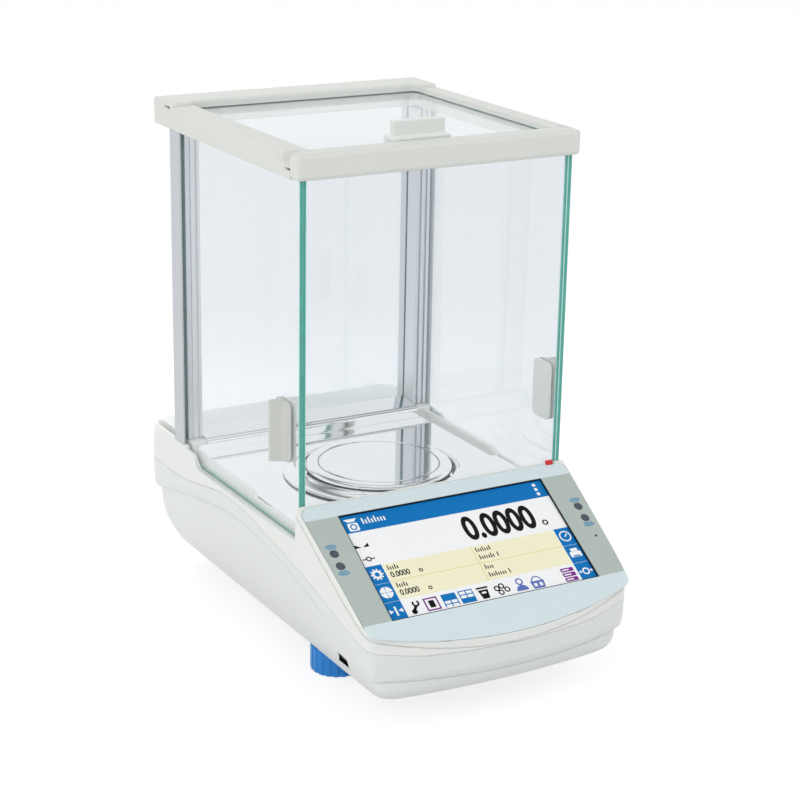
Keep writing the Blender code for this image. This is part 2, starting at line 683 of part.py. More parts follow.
def panel_outline(rim):
    """The sloping face seen square on, drawn in by the rim: u across, v up from the back edge."""
    c = math.cos(PANEL_TILT)
    half_top = side_half_width(TERMINAL_BACK_Y) - WALL_DRAFT - rim
    front_v = -(TERMINAL_BACK_Y - FRONT_Y) / c
    corner_v = front_v + 23 * MM
    half_low = side_half_width(FRONT_Y) - rim
    top_v = -rim - 0.6 * MM
    nose_v = front_v + rim
    nose_half = half_low - PANEL_CORNER / 2
    depth = corner_v - 6 * MM - nose_v
    radius = (nose_half ** 2 + depth ** 2) / (2 * depth)
    sweep = math.degrees(math.asin(nose_half / radius))
    right = arc((half_top - PANEL_CORNER, top_v - PANEL_CORNER), PANEL_CORNER, 90, 0, 5)
    right += [(half_low, corner_v + 2 * MM), (half_low - 0.6 * MM, corner_v - 3 * MM)]
    right += arc((0.0, nose_v + radius), radius, -90 + sweep, -90, 8)
    left = [(-u, v) for u, v in reversed(right[:-1])]
    return right + left


def make_terminal():
    bezel = cover_loft("terminal_bezel", material=PLASTIC_UPPER)
    combine(bezel, slope_prism("bezel slab", 0.0, -BEZEL_THICKNESS), 'INTERSECT')
    round_edges(bezel, 1 * MM, 2, 50)
    recess = outline_solid("panel recess", panel_outline(BEZEL_RIM - GAP), 2 * PANEL_THICKNESS + 2 * GAP,
                           panel_place(0, 0, 0))
    combine(bezel, recess)
    combine(bezel, panel_block("bezel window", SCREEN_WIDTH + 2 * GAP, SCREEN_HEIGHT + 2 * GAP,
                               screen_v(), 20 * MM, -20 * MM))
    panel = outline_solid("front_panel", panel_outline(BEZEL_RIM), PANEL_THICKNESS,
                          panel_place(0, 0, -PANEL_THICKNESS / 2), PANEL_FILM)
    combine(panel, panel_block("panel window", SCREEN_WIDTH, SCREEN_HEIGHT, screen_v(), 20 * MM, -20 * MM))
    for name, side in MIRRORED:
        for row, label in ((0, "upper"), (1, "lower")):
            u = side * (side_half_width(TERMINAL_BACK_Y) - LENS_FROM_SIDE)
            v = -LENS_FROM_TOP - row * LENS_PITCH
            bore = turned("bore %s %s" % (name, label), cylinder_profile(LENS_RADIUS + GAP, 8 * MM),
                          (0, 0, 0), steps=20)
            bore.matrix_world = panel_place(u, v, -4 * MM)
            combine(panel, bore)
            lens = turned("sensor_lens_%s_%s" % (name, label),
                          cylinder_profile(LENS_RADIUS, PANEL_THICKNESS), (0, 0, 0), DARK_LENS, 20)
            lens.matrix_world = panel_place(u, v, -PANEL_THICKNESS)
    # The display lies just inside the window, its board flat against its back.
    back = -SCREEN_RECESS - DISPLAY_THICKNESS
    panel_block("display_module", SCREEN_WIDTH - 2 * GAP, SCREEN_HEIGHT - 2 * GAP, screen_v(),
                -SCREEN_RECESS, back, SCREEN_GLASS)
    panel_block("display_board", SCREEN_WIDTH - 14 * MM, SCREEN_HEIGHT - 10 * MM, screen_v(),
                back - GAP, back - GAP - BOARD_THICKNESS, CIRCUIT_BOARD)
    stop_x = side_half_width(TERMINAL_BACK_Y) - 12.5 * MM
    notch_low = (stop_x - STOP_WIDTH / 2, TERMINAL_BACK_Y - 2.4 * MM, PANEL_TOP_Z - 2.2 * MM)
    notch_high = (stop_x + STOP_WIDTH / 2, TERMINAL_BACK_Y, PANEL_TOP_Z - 2.2 * MM + STOP_HEIGHT)
    grow = Vector((GAP, GAP, GAP))
    notch = box("stop notch", Vector(notch_low) - grow, Vector(notch_high) + 4 * grow)
    combine(bezel, notch)
    combine(panel, notch)
    box("pane_stop", notch_low, notch_high, RED_PLASTIC, 0.4 * MM)


def make_columns():
    bottom = SHELF_Z + GAP
    top = FRAME_BOTTOM_Z - GAP
    for name, side in MIRRORED:
        column = side_box("rear_column_" + name, side, (COLUMN_IN, COLUMN_Y, bottom),
                          (COLUMN_OUT, COLUMN_Y + COLUMN_DEPTH, top), ALUMINIUM)
        # The groove in the inner face takes the edge of the rear glass.
        combine(column, side_box("glass groove " + name, side,
                                 (COLUMN_IN - PAST, REAR_GLASS_Y - GAP, bottom - PAST),
                                 (COLUMN_IN + PANE_INSERT + GAP, REAR_GLASS_Y + GLASS + GAP, top + PAST)))
        for place in (0.2, 0.62):
            x = mix(COLUMN_IN, COLUMN_OUT, place)
            combine(column, side_box("front groove %s %.2f" % (name, place), side,
                                     (x, COLUMN_Y - PAST, bottom - PAST),
                                     (x + COLUMN_GROOVE, COLUMN_Y + COLUMN_GROOVE, top + PAST)))
        side_box("door_guide_" + name, side, (GUIDE_IN, COLUMN_Y, SHELF_Z - GUIDE_SINK),
                 (GUIDE_OUT, COLUMN_Y + GUIDE_DEPTH, top), ALUMINIUM)


def rear_bar_outline():
    """Plan of the rear crossbar: its ends reach forward in two ears with rounded inner corners."""
    ear_y = REAR_BAR_Y - REAR_BAR_EAR
    right = [(RAIL_IN, ear_y), (FRAME_HALF, ear_y), (FRAME_HALF, REAR_BAR_BACK_Y)]
    right = arc((RAIL_IN - REAR_BAR_EAR, ear_y), REAR_BAR_EAR, 90, 0, 4)[:-1] + right
    return right + [(-x, y) for x, y in reversed(right)]


def rail_section(side):
    """Section of a side rail, with a large rounding on its outer top edge."""
    top = FRAME_BOTTOM_Z + RAIL_HEIGHT
    points = [(RAIL_IN, top), (RAIL_IN, FRAME_BOTTOM_Z)]
    points += arc((FRAME_HALF - RAIL_LIP, FRAME_BOTTOM_Z + RAIL_LIP), RAIL_LIP, -90, 0, 2)
    points += arc((FRAME_HALF - FRAME_EDGE, top - FRAME_EDGE), FRAME_EDGE, 0, 90, 4)
    return [(side * x, z) for x, z in points]


def rib_section(side, low_z):
    """A thin strip round the rail's outer top edge, sunk by the depth of a rib groove."""
    top = FRAME_BOTTOM_Z + RAIL_HEIGHT
    clear = 2 * FRAME_EDGE
    inner_x = FRAME_HALF - FRAME_EDGE - RIB_REACH
    outer_x = FRAME_HALF + clear
    points = [(FRAME_HALF - RIB_DEPTH, low_z), (outer_x, low_z), (outer_x, top + clear),
              (inner_x, top + clear), (inner_x, top - RIB_DEPTH)]
    points += arc((FRAME_HALF - FRAME_EDGE, top - FRAME_EDGE), FRAME_EDGE - RIB_DEPTH, 90, 0, 4)[:-1]
    return [(side * x, z) for x, z in points]


def front_view(y):
    """Places an outline drawn in x and z at one distance from the front."""
    return Matrix.Translation((0, y, 0)) @ FRONT_VIEW


def make_rail(name, side, joint_y):
    """Side rail with a ribbed front end and a narrow notch under the ribs."""
    back_y = REAR_BAR_Y - REAR_BAR_EAR - GAP
    rail = outline_solid("top_rail_" + name, rail_section(side), back_y - joint_y,
                         front_view((joint_y + back_y) / 2), PLASTIC_UPPER)
    notch_z = FRAME_BOTTOM_Z + FRONT_NOTCH_RISE
    low = (FRAME_HALF - NOTCH_DEPTH, joint_y - PAST, notch_z)
    high = (FRAME_HALF + PAST, joint_y + FRONT_NOTCH_LENGTH, notch_z + NOTCH_HEIGHT)
    combine(rail, side_box("front notch " + name, side, low, high))
    for i in range(RIB_COUNT):
        section = rib_section(side, notch_z + NOTCH_HEIGHT + RIB_PITCH)
        groove = outline_solid("rib groove %s %d" % (name, i), section, RIB_GROOVE,
                               front_view(joint_y + (i + 1) * RIB_PITCH))
        combine(rail, groove)
    return rail


def make_frame():
    """Top frame: a front bar that caps the corners, a rear bar with ears, and two side rails."""
    bar_top_z = FRAME_BOTTOM_Z + FRONT_BAR_HEIGHT
    front = box("top_frame_front", (-FRAME_HALF, FRAME_FRONT_Y, FRAME_BOTTOM_Z),
                (FRAME_HALF, FRONT_BAR_BACK_Y, bar_top_z), PLASTIC_UPPER, FRAME_EDGE)
    rear = outline_solid("top_frame_rear", rear_bar_outline(), REAR_BAR_HEIGHT,
                         Matrix.Translation((0, 0, FRAME_BOTTOM_Z + REAR_BAR_HEIGHT / 2)), PLASTIC_UPPER)
    round_edges(rear, REAR_BAR_EDGE, 2, 50)
    bars = [front, rear]
    joint_y = FRAME_FRONT_Y + CORNER_CAP + GAP
    for name, side in MIRRORED:
        combine(front, side_box("corner joint " + name, side,
                                (RAIL_IN - GAP, FRAME_FRONT_Y + CORNER_CAP, FRAME_BOTTOM_Z - PAST),
                                (FRAME_HALF + PAST, FRONT_BAR_BACK_Y + PAST, bar_top_z + PAST)))
        rail = make_rail(name, side, joint_y)
        bars.append(rail)
        notch_z = FRAME_BOTTOM_Z + REAR_BAR_HEIGHT - REAR_NOTCH_DROP
        low = (FRAME_HALF - NOTCH_DEPTH, REAR_BAR_Y, notch_z)
        high = (FRAME_HALF + PAST, REAR_BAR_Y + REAR_NOTCH_LENGTH, notch_z + NOTCH_HEIGHT)
        combine(rear, side_box("rear notch " + name, side, low, high))
        slot = side_box("door slot " + name, side, (CHANNEL_IN, PANE_Y - GAP, FRAME_BOTTOM_Z - PAST),
                        (CHANNEL_OUT, REAR_BAR_BACK_Y + PAST, SLOT_TOP_Z))
        for bar in (front, rear, rail):
            combine(bar, slot)
    inner = CHANNEL_IN - 2 * GAP
    combine(front, box("pane slot", (-inner, PANE_Y - GAP, FRAME_BOTTOM_Z - PAST),
                       (inner, PANE_BACK_Y + GAP, SLOT_TOP_Z)))
    half = COLUMN_IN + PANE_INSERT + GAP
    combine(rear, box("rear glass slot", (-half, REAR_GLASS_Y - GAP, FRAME_BOTTOM_Z - PAST),
                      (half, REAR_GLASS_Y + GLASS + GAP, SLOT_TOP_Z)))
    reach = TOP_GLASS_HALF + SLIDE_GAP
    low_z = TOP_GLASS_TOP_Z - GLASS - SLIDE_GAP
    top_slot = box("top glass slot", (-reach, FRONT_BAR_BACK_Y - RAIL_SLOT, low_z),
                   (reach, REAR_BAR_BACK_Y + PAST, TOP_GLASS_TOP_Z + SLIDE_GAP))
    for bar in bars:
        combine(bar, top_slot)
    # The exact solver loses the rear bar's body, so its cuts use the manifold one.
    for cut in rear.modifiers:
        if cut.type == 'BOOLEAN':
            cut.solver = 'MANIFOLD'


def make_panes():
    inner = CHANNEL_IN - 3 * GAP
    box("front_glass", (-inner, PANE_Y, FLOOR_SEAT_Z + GAP), (inner, PANE_BACK_Y, DOOR_TOP_Z), CLEAR_GLASS)
    half = COLUMN_IN + PANE_INSERT
    back = REAR_GLASS_Y + GLASS
    box("rear_glass", (-half, REAR_GLASS_Y, SHELF_Z + GAP), (half, back, DOOR_TOP_Z), CLEAR_GLASS)


def make_doors():
    for name, side in MIRRORED:
        side_box("%s_door_glass" % name, side, (DOOR_IN, PANE_Y, DOOR_BOTTOM_Z),
                 (DOOR_OUT, PANE_Y + DOOR_LENGTH, DOOR_TOP_Z), CLEAR_GLASS)
        make_side_handle(name, side)
    box("top_door_glass", (-TOP_GLASS_HALF, TOP_GLASS_Y, TOP_GLASS_TOP_Z - GLASS),
        (TOP_GLASS_HALF, REAR_BAR_Y + TOP_GLASS_REAR_LAP, TOP_GLASS_TOP_Z), CLEAR_GLASS)
    make_top_handle()


def make_side_handle(name, side):
    """A swept finger grip on a plate outside the glass, clamped by a second plate inside it."""
    low_y = PANE_Y + PLATE_SETBACK
    high_y = low_y + PLATE_WIDTH
    face = DOOR_OUT + GAP
    back = face + PLATE_THICKNESS
    tip = face + GRIP_REACH
    root_y = low_y + 0.3 * PLATE_WIDTH
    tip_y = root_y + GRIP_SWEEP
    # Plan outline: the plate, then the hollow front of the grip, its tip and its back.
    rear_y = tip_y + GRIP_THICKNESS
    soft = GRIP_ROUNDING
    outline = [(face, high_y), (face, low_y), (back, low_y), (back, root_y - soft),
               (mix(back, tip, 0.15), root_y + 0.25 * GRIP_SWEEP),
               (mix(back, tip, 0.5), root_y + 0.6 * GRIP_SWEEP),
               (tip - soft, tip_y), (tip, tip_y + soft), (tip, rear_y - soft), (tip - soft, rear_y),
               (mix(back, tip, 0.4), rear_y - soft / 2), (back, rear_y + 2 * soft), (back, high_y)]
    outline = [(side * x, y) for x, y in outline]
    middle = Matrix.Translation((0, 0, PLATE_BOTTOM_Z + PLATE_HEIGHT / 2))
    handle = outline_solid("%s_door_handle" % name, outline, PLATE_HEIGHT, middle, PLASTIC_UPPER)
    rounded = rounded_outline(low_y, high_y, PLATE_BOTTOM_Z, PLATE_BOTTOM_Z + PLATE_HEIGHT, PLATE_CORNER)
    form = outline_solid("handle form " + name, rounded, 3 * HOUSING_WIDTH, SIDE_VIEW)
    combine(handle, form, 'INTERSECT')
    inside = side * (DOOR_IN - GAP - PLATE_THICKNESS / 2)
    outline_solid("%s_door_clamp" % name, rounded, PLATE_THICKNESS,
                  Matrix.Translation((inside, 0, 0)) @ SIDE_VIEW, PLASTIC_UPPER)


def rounded_outline(low_u, high_u, low_v, high_v, radius):
    corners = ((high_u - radius, high_v - radius, 0), (low_u + radius, high_v - radius, 90),
               (low_u + radius, low_v + radius, 180), (high_u - radius, low_v + radius, 270))
    points = []
    for u, v, start in corners:
        points += arc((u, v), radius, start, start + 90, 4)
    return points


def make_top_handle():
    """An upright grip on a foot plate, drawn as one side profile."""
    y = TOP_GLASS_Y + TOP_GRIP_SETBACK
    z = TOP_GLASS_TOP_Z + GAP
    handle = box("top_door_handle", (-TOP_PLATE_WIDTH / 2, y - TOP_PLATE_DEPTH / 2, z),
                 (TOP_PLATE_WIDTH / 2, y + TOP_PLATE_DEPTH / 2, z + TOP_PLATE_THICKNESS), PLASTIC_UPPER)
    half = TOP_GRIP_THICKNESS / 2
    blade = box("top grip blade", (-TOP_GRIP_WIDTH / 2, y - half, z + TOP_PLATE_THICKNESS / 2),
                (TOP_GRIP_WIDTH / 2, y + half, z + TOP_GRIP_HEIGHT))
    combine(handle, blade, 'UNION')
    round_edges(handle, 0.8 * MM, 2, 50)


def make_floor_plate():
    """Polished sheet: chamber floor, rear upstand and a ledge that rises to the rear glass."""
    bottom = FLOOR_SEAT_Z + GAP
    step = SHELF_Z + GAP
    stand = SHELF_Y - GAP
    front = PANE_BACK_Y + 2 * GAP
    back = REAR_GLASS_Y - GAP
    bend = FLOOR_BEND
    face = stand - SHEET
    upper = arc((face - bend, FLOOR_TOP_Z + bend), bend, -90, 0, 4)
    upper += arc((face + bend + SHEET, step - bend), bend + SHEET, 180, 90, 5)
    lower = arc((stand + bend, step - bend), bend, 90, 180, 4)
    lower += arc((stand - SHEET - bend, bottom + bend + SHEET), bend + SHEET, 0, -90, 5)
    ledge_z = step + FLOOR_LEDGE_RISE
    points = [(front, FLOOR_TOP_Z)] + upper + [(back, ledge_z + SHEET), (back, ledge_z)]
    points += lower + [(front, bottom)]
    plate = outline_solid("chamber_floor_plate", points, 2 * FLOOR_HALF, SIDE_VIEW, POLISHED_STEEL)
    # In front of the columns only the upstand is left, with its top corners rounded off.
    corner_z = step - bend
    middle = front_view((face + back) / 2)
    for name, side in MIRRORED:
        corner = [(COLUMN_IN - GAP, ledge_z + PAST), (COLUMN_IN - GAP, corner_z)]
        corner += arc((FLOOR_HALF - UPSTAND_CORNER, corner_z - UPSTAND_CORNER), UPSTAND_CORNER, 90, 0, 5)
        corner += [(HALF_WIDTH, corner_z - UPSTAND_CORNER), (HALF_WIDTH, ledge_z + PAST)]
        corner = [(side * x, z) for x, z in corner]
        combine(plate, outline_solid("plate corner " + name, corner, back - face + PAST, middle))
    combine(plate, turned("plate hole", cylinder_profile(SPINDLE_HOLE_RADIUS, 20 * MM),
                          (0, PAN_Y, bottom - 10 * MM), steps=24))


def make_pan():
    centre = (0, PAN_Y, PAN_TOP_Z)
    rim = PAN_RIM
    groove = 0.5 * MM
    sheet = 1.5 * MM
    hub = SPINDLE_RADIUS + GAP
    hub_low = FLOOR_TOP_Z + 1.6 * MM - PAN_TOP_Z
    profile = [(0.0, 0.0), (PAN_GROOVE_RADIUS - 0.8 * MM, 0.0), (PAN_GROOVE_RADIUS, -groove),
               (PAN_GROOVE_RADIUS + 0.8 * MM, 0.0)]
    profile += arc((PAN_RADIUS - rim / 2, -rim / 2), rim / 2, 90, -90, 6)
    profile += [(PAN_RADIUS - 3 * rim, -sheet), (hub + 4 * MM, -sheet - 0.4 * MM), (hub + 3 * MM, hub_low),
                (hub, hub_low), (hub, -sheet - 1 * MM), (0.0, -sheet - 1 * MM)]
    turned("weighing_pan", profile, centre, POLISHED_STEEL, 48)
    pin_top = PAN_TOP_Z - sheet - 1 * MM - GAP
    base = CELL_TOP_Z + GAP
    flange = 3 * MM
    profile = [(0.0, pin_top - base), (SPINDLE_RADIUS - 1 * MM, pin_top - base),
               (SPINDLE_RADIUS, pin_top - base - 1.5 * MM), (SPINDLE_RADIUS, flange),
               (2.2 * SPINDLE_RADIUS, flange), (2.2 * SPINDLE_RADIUS, 0.0), (0.0, 0.0)]
    turned("pan_spindle", profile, (0, PAN_Y, base), STEEL, 32)


def make_draft_ring():
    """Polished dished ring that stands on the floor plate round the pan."""
    inner = PAN_RADIUS + RING_INNER_GAP
    wall = 1 * MM
    rise = RING_RISE
    outer = RING_RADIUS
    lip = 2.2 * MM
    top = arc((inner + 1.2 * MM, rise - 1.2 * MM), 1.2 * MM, 170, 50, 4)
    profile = top + [(mix(inner, outer, 0.45), lip + 0.9 * MM), (outer - 2 * MM, lip)]
    profile += arc((outer - 1.1 * MM, lip - 1.1 * MM), 1.1 * MM, 60, 0, 3)
    profile += [(outer, 0.0), (outer - wall, 0.0), (outer - 2 * wall, lip - wall),
                (mix(inner, outer, 0.45), lip - 0.2 * MM), (inner + wall, rise - 2.6 * MM),
                (inner + wall, 0.0), (inner, 0.0)]
    turned("draft_ring", profile, (0, PAN_Y, FLOOR_TOP_Z + GAP), POLISHED_STEEL, 40)


def ribbed_outline(radius, ribs, depth):
    """A round outline with shallow finger grooves between its ribs."""
    points = []
    for i in range(ribs):
        for part, size in ((0.0, radius), (0.55, radius), (0.68, radius - depth), (0.87, radius - depth)):
            angle = 2 * math.pi * (i + part) / ribs
            points.append((size * math.cos(angle), size * math.sin(angle)))
    return points


def make_feet():
    wheel_top = UNDERSIDE_Z - 2 * GAP
    for name, side in MIRRORED:
        x = side * FOOT_X
        wheel = outline_solid("leveling_wheel_" + name, ribbed_outline(FOOT_RADIUS, FOOT_RIBS, 0.8 * MM),
                              wheel_top, Matrix.Translation((x, FOOT_Y, wheel_top / 2)), BLUE_PLASTIC)
        round_edges(wheel, 1.2 * MM, 1, 75)
        seat = wheel_top - STUD_SEAT
        combine(wheel, turned("stud seat " + name, cylinder_profile(STUD_RADIUS + GAP, 40 * MM),
                              (x, FOOT_Y, seat - GAP), steps=24))
        turned("leveling_stud_" + name, cylinder_profile(STUD_RADIUS, STUD_LENGTH, 0.6 * MM),
               (x, FOOT_Y, seat), STEEL, 24)
        bore = STUD_RADIUS + GAP
        insert = [(bore, INSERT_HEIGHT), (INSERT_RADIUS, INSERT_HEIGHT), (INSERT_RADIUS, 0.0), (bore, 0.0)]
        turned("foot_insert_" + name, insert, (x, FOOT_Y, INNER_FLOOR_Z + GAP), BRASS, 24)
        foot_top = UNDERSIDE_Z - GAP
        foot = [(0.0, foot_top), (REAR_FOOT_RADIUS, foot_top), (REAR_FOOT_RADIUS - 1 * MM, 2 * MM),
                (REAR_FOOT_RADIUS - 3 * MM, 0.0), (0.0, 0.0)]
        turned("rear_foot_" + name, foot, (side * REAR_FOOT_X, REAR_FOOT_Y, 0), RUBBER, 32)


def make_inside():
    plate_high = CELL_FRONT_Y + CELL_LENGTH + 24 * MM
    plate_low = plate_high - BASE_PLATE_LENGTH
    half = BASE_PLATE_WIDTH / 2
    plate = box("base_plate", (-half, plate_low, INNER_FLOOR_Z + GAP), (half, plate_high, PLATE_TOP_Z),
                CAST_ALUMINIUM, 1 * MM)
    cell_low = PLATE_TOP_Z + GAP
    cell = box("weigh_cell", (-CELL_WIDTH / 2, CELL_FRONT_Y, cell_low),
               (CELL_WIDTH / 2, CELL_FRONT_Y + CELL_LENGTH, CELL_TOP_Z), ALUMINIUM)
    # Two long slots leave the thin parallel guides that let the load end move straight.
    low_z = cell_low + CELL_GUIDE
    high_z = CELL_TOP_Z - CELL_GUIDE - CELL_SLOT
    slot_back = CELL_FRONT_Y + CELL_SLOT_LENGTH
    for label, z in (("lower", low_z), ("upper", high_z)):
        combine(cell, box("cell slot " + label, (-CELL_WIDTH, CELL_FRONT_Y + CELL_GUIDE, z),
                          (CELL_WIDTH, slot_back, z + CELL_SLOT)))
    post_y = CELL_FRONT_Y + CELL_POST
    combine(cell, box("cell slot upright", (-CELL_WIDTH, post_y, low_z + CELL_SLOT / 2),
                      (CELL_WIDTH, post_y + CELL_SLOT, high_z + CELL_SLOT / 2)))
    side_x = CELL_WIDTH / 2 + GAP
    weight = turned("calibration_weight", cylinder_profile(WEIGHT_RADIUS, WEIGHT_LENGTH),
                    (side_x + WEIGHT_RADIUS, PAN_Y + 10 * MM, cell_low), BRASS, 28)
    motor_y = weight.location.y + WEIGHT_RADIUS + MOTOR_RADIUS + 8 * MM
    turned("calibration_motor", cylinder_profile(MOTOR_RADIUS, MOTOR_LENGTH),
           (side_x + MOTOR_RADIUS, motor_y, cell_low), STEEL, 24)
    board_y = CELL_FRONT_Y - 12 * MM - MAIN_BOARD_LENGTH
    board_z = PLATE_TOP_Z + BOSS_HEIGHT + GAP
    inset = 8 * MM
    for x in (-1, 1):
        for y in (board_y + inset, board_y + MAIN_BOARD_LENGTH - inset):
            boss = turned("boss %d %.3f" % (x, y), cylinder_profile(BOSS_RADIUS, BOSS_HEIGHT + 2 * MM),
                          (x * (MAIN_BOARD_WIDTH / 2 - inset), y, PLATE_TOP_Z - 2 * MM), steps=16)
            combine(plate, boss, 'UNION')
    box("main_board", (-MAIN_BOARD_WIDTH / 2, board_y, board_z),
        (MAIN_BOARD_WIDTH / 2, board_y + MAIN_BOARD_LENGTH, board_z + BOARD_THICKNESS), CIRCUIT_BOARD)


REAR_SOCKETS = (
    ("power_inlet", 14 * MM, 11 * MM, -58 * MM),
    ("usb_socket_rear", USB_WIDTH, USB_HEIGHT, -32 * MM),
    ("network_socket", 16 * MM, 13.4 * MM, -6 * MM),
    ("serial_socket", 31 * MM, 12.6 * MM, 36 * MM),
)


def rear_socket_block(name, width, height, x, grow, material=None):
    low = (x - width / 2 - grow, REAR_Y - SOCKET_DEPTH - grow, REAR_SOCKET_Z - height / 2 - grow)
    reach = 10 * MM if material is None else -0.8 * MM
    high = (x + width / 2 + grow, REAR_Y + reach, REAR_SOCKET_Z + height / 2 + grow)
    return box(name, low, high, material)


def side_usb_block(name, grow, material=None):
    y = FRONT_Y + SIDE_USB_FROM_FRONT
    outer = -side_usb_face()
    reach = 20 * MM if material is None else 0.0
    half_w, half_h = USB_WIDTH / 2 + grow, USB_HEIGHT / 2 + grow
    return box(name, (outer - reach, y - half_w, SIDE_USB_Z - half_h),
               (outer + SOCKET_DEPTH + grow, y + half_w, SIDE_USB_Z + half_h), material)


def side_usb_face():
    """Half-width of the tray's wall at the side socket."""
    y = FRONT_Y + SIDE_USB_FROM_FRONT
    down = (step_z(y) - SIDE_USB_Z) / (step_z(y) - UNDERSIDE_Z)
    return tray_half_width(y, down) - 0.5 * MM


def make_sockets():
    hollow_usb(side_usb_block("usb_socket_side", 0.0, STEEL), "side")
    for name, width, height, x in REAR_SOCKETS:
        material = STEEL if name in ("usb_socket_rear", "serial_socket") else BLACK_PLASTIC
        socket = rear_socket_block(name, width, height, x, 0.0, material)
        place = front_view(REAR_Y) @ Matrix.Translation((x, REAR_SOCKET_Z, 0))
        depth = 2 * (SOCKET_DEPTH - SOCKET_BACK)
        if name == "usb_socket_rear":
            hollow_usb(socket, "rear")
        elif name == "power_inlet":
            # A round mouth with the centre pin left standing in it.
            ring = [(BARREL_RADIUS, depth / 2), (BARREL_RADIUS, -depth / 2),
                    (BARREL_PIN_RADIUS, -depth / 2), (BARREL_PIN_RADIUS, depth / 2)]
            mouth = turned("barrel mouth", ring, (0, 0, 0), steps=20)
            mouth.matrix_world = place
            combine(socket, mouth)
        elif name == "network_socket":
            # The plug's latch has a narrower slot of its own under the mouth.
            half_w, half_h = width / 2 - SOCKET_WALL, height / 2 - SOCKET_WALL
            half_key = NETWORK_KEY_WIDTH / 2
            mouth_low = half_h - NETWORK_KEY_HEIGHT
            for label, half, low in (("mouth", half_w, mouth_low), ("latch", half_key, half_h)):
                outline = [(-half, half_h), (-half, -low), (half, -low), (half, half_h)]
                combine(socket, outline_solid("network " + label, outline, depth, place))
        else:
            half_h = SERIAL_MOUTH_HEIGHT / 2
            top, bottom = SERIAL_MOUTH_WIDTH / 2, SERIAL_MOUTH_WIDTH / 2 - SERIAL_MOUTH_SLANT
            outline = [(-top, half_h), (-bottom, -half_h), (bottom, -half_h), (top, half_h)]
            combine(socket, outline_solid("serial mouth", outline, depth, place))


def hollow_usb(socket, label):
    """The mouth of a USB socket, leaving its tongue standing."""
    depth = SOCKET_DEPTH - SOCKET_BACK
    half_w, half_h = USB_WIDTH / 2 - USB_SHELL, USB_HEIGHT / 2 - USB_SHELL
    tongue = USB_TONGUE / 2
    centre = socket.location.copy()
    for share, low, high in (("above", tongue, half_h), ("below", -half_h, -tongue)):
        if label == "side":
            start = centre.x - SOCKET_DEPTH / 2
            corner_low = (start - PAST, centre.y - half_w, centre.z + low)
            corner_high = (start + depth, centre.y + half_w, centre.z + high)
        else:
            corner_low = (centre.x - half_w, REAR_Y - depth, centre.z + low)
            corner_high = (centre.x + half_w, REAR_Y + PAST, centre.z + high)
        combine(socket, box("usb mouth %s %s" % (label, share), corner_low, corner_high))


clear_scene()
PARTS = make_collection("analytical balance")
CUTTERS = make_collection("cutters")

PLASTIC_UPPER = make_material("white_plastic", (0.74, 0.75, 0.73), 0.5)
PLASTIC_LOWER = make_material("pale_grey_plastic", (0.71, 0.72, 0.71), 0.5)
PANEL_FILM = make_material("printed_film", (0.68, 0.75, 0.76), 0.35)
SCREEN_GLASS = make_material("screen_glass", (0.85, 0.87, 0.88), 0.15)
DARK_LENS = make_material("dark_lens", (0.05, 0.06, 0.07), 0.1)
CLEAR_GLASS = make_material("clear_glass", (0.8, 0.92, 0.9), 0.02, alpha=0.3)
ALUMINIUM = make_material("anodised_aluminium", (0.62, 0.64, 0.67), 0.4, 0.9)
CAST_ALUMINIUM = make_material("cast_aluminium", (0.5, 0.5, 0.5), 0.6, 0.9)
POLISHED_STEEL = make_material("polished_steel", (0.8, 0.8, 0.82), 0.08, 1.0)
STEEL = make_material("steel", (0.55, 0.55, 0.56), 0.3, 1.0)
BRASS = make_material("brass", (0.7, 0.52, 0.22), 0.3, 1.0)
RUBBER = make_material("rubber", (0.04, 0.04, 0.04), 0.85)
BLUE_PLASTIC = make_material("blue_plastic", (0.0, 0.19, 0.58), 0.4)
RED_PLASTIC = make_material("red_plastic", (0.75, 0.02, 0.02), 0.4)
BLACK_PLASTIC = make_material("black_plastic", (0.02, 0.02, 0.02), 0.5)
CIRCUIT_BOARD = make_material("circuit_board", (0.02, 0.2, 0.08), 0.5)

make_base_tray()
make_top_cover()
make_terminal()
make_columns()
make_frame()
make_panes()
make_doors()
make_floor_plate()
make_pan()
make_draft_ring()
make_feet()
make_inside()
make_sockets()
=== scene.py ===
"""Looks of an analytical balance: finishes, glass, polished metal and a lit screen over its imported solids.

Laid out as an add-on and run as a script. Every place comes from the frame, in metres, +Z up, +X to the
user's right and +Y to the back.
"""

import json
import math

import bmesh
import bpy
from bpy.props import FloatProperty, FloatVectorProperty, PointerProperty
from mathutils import Matrix, Vector

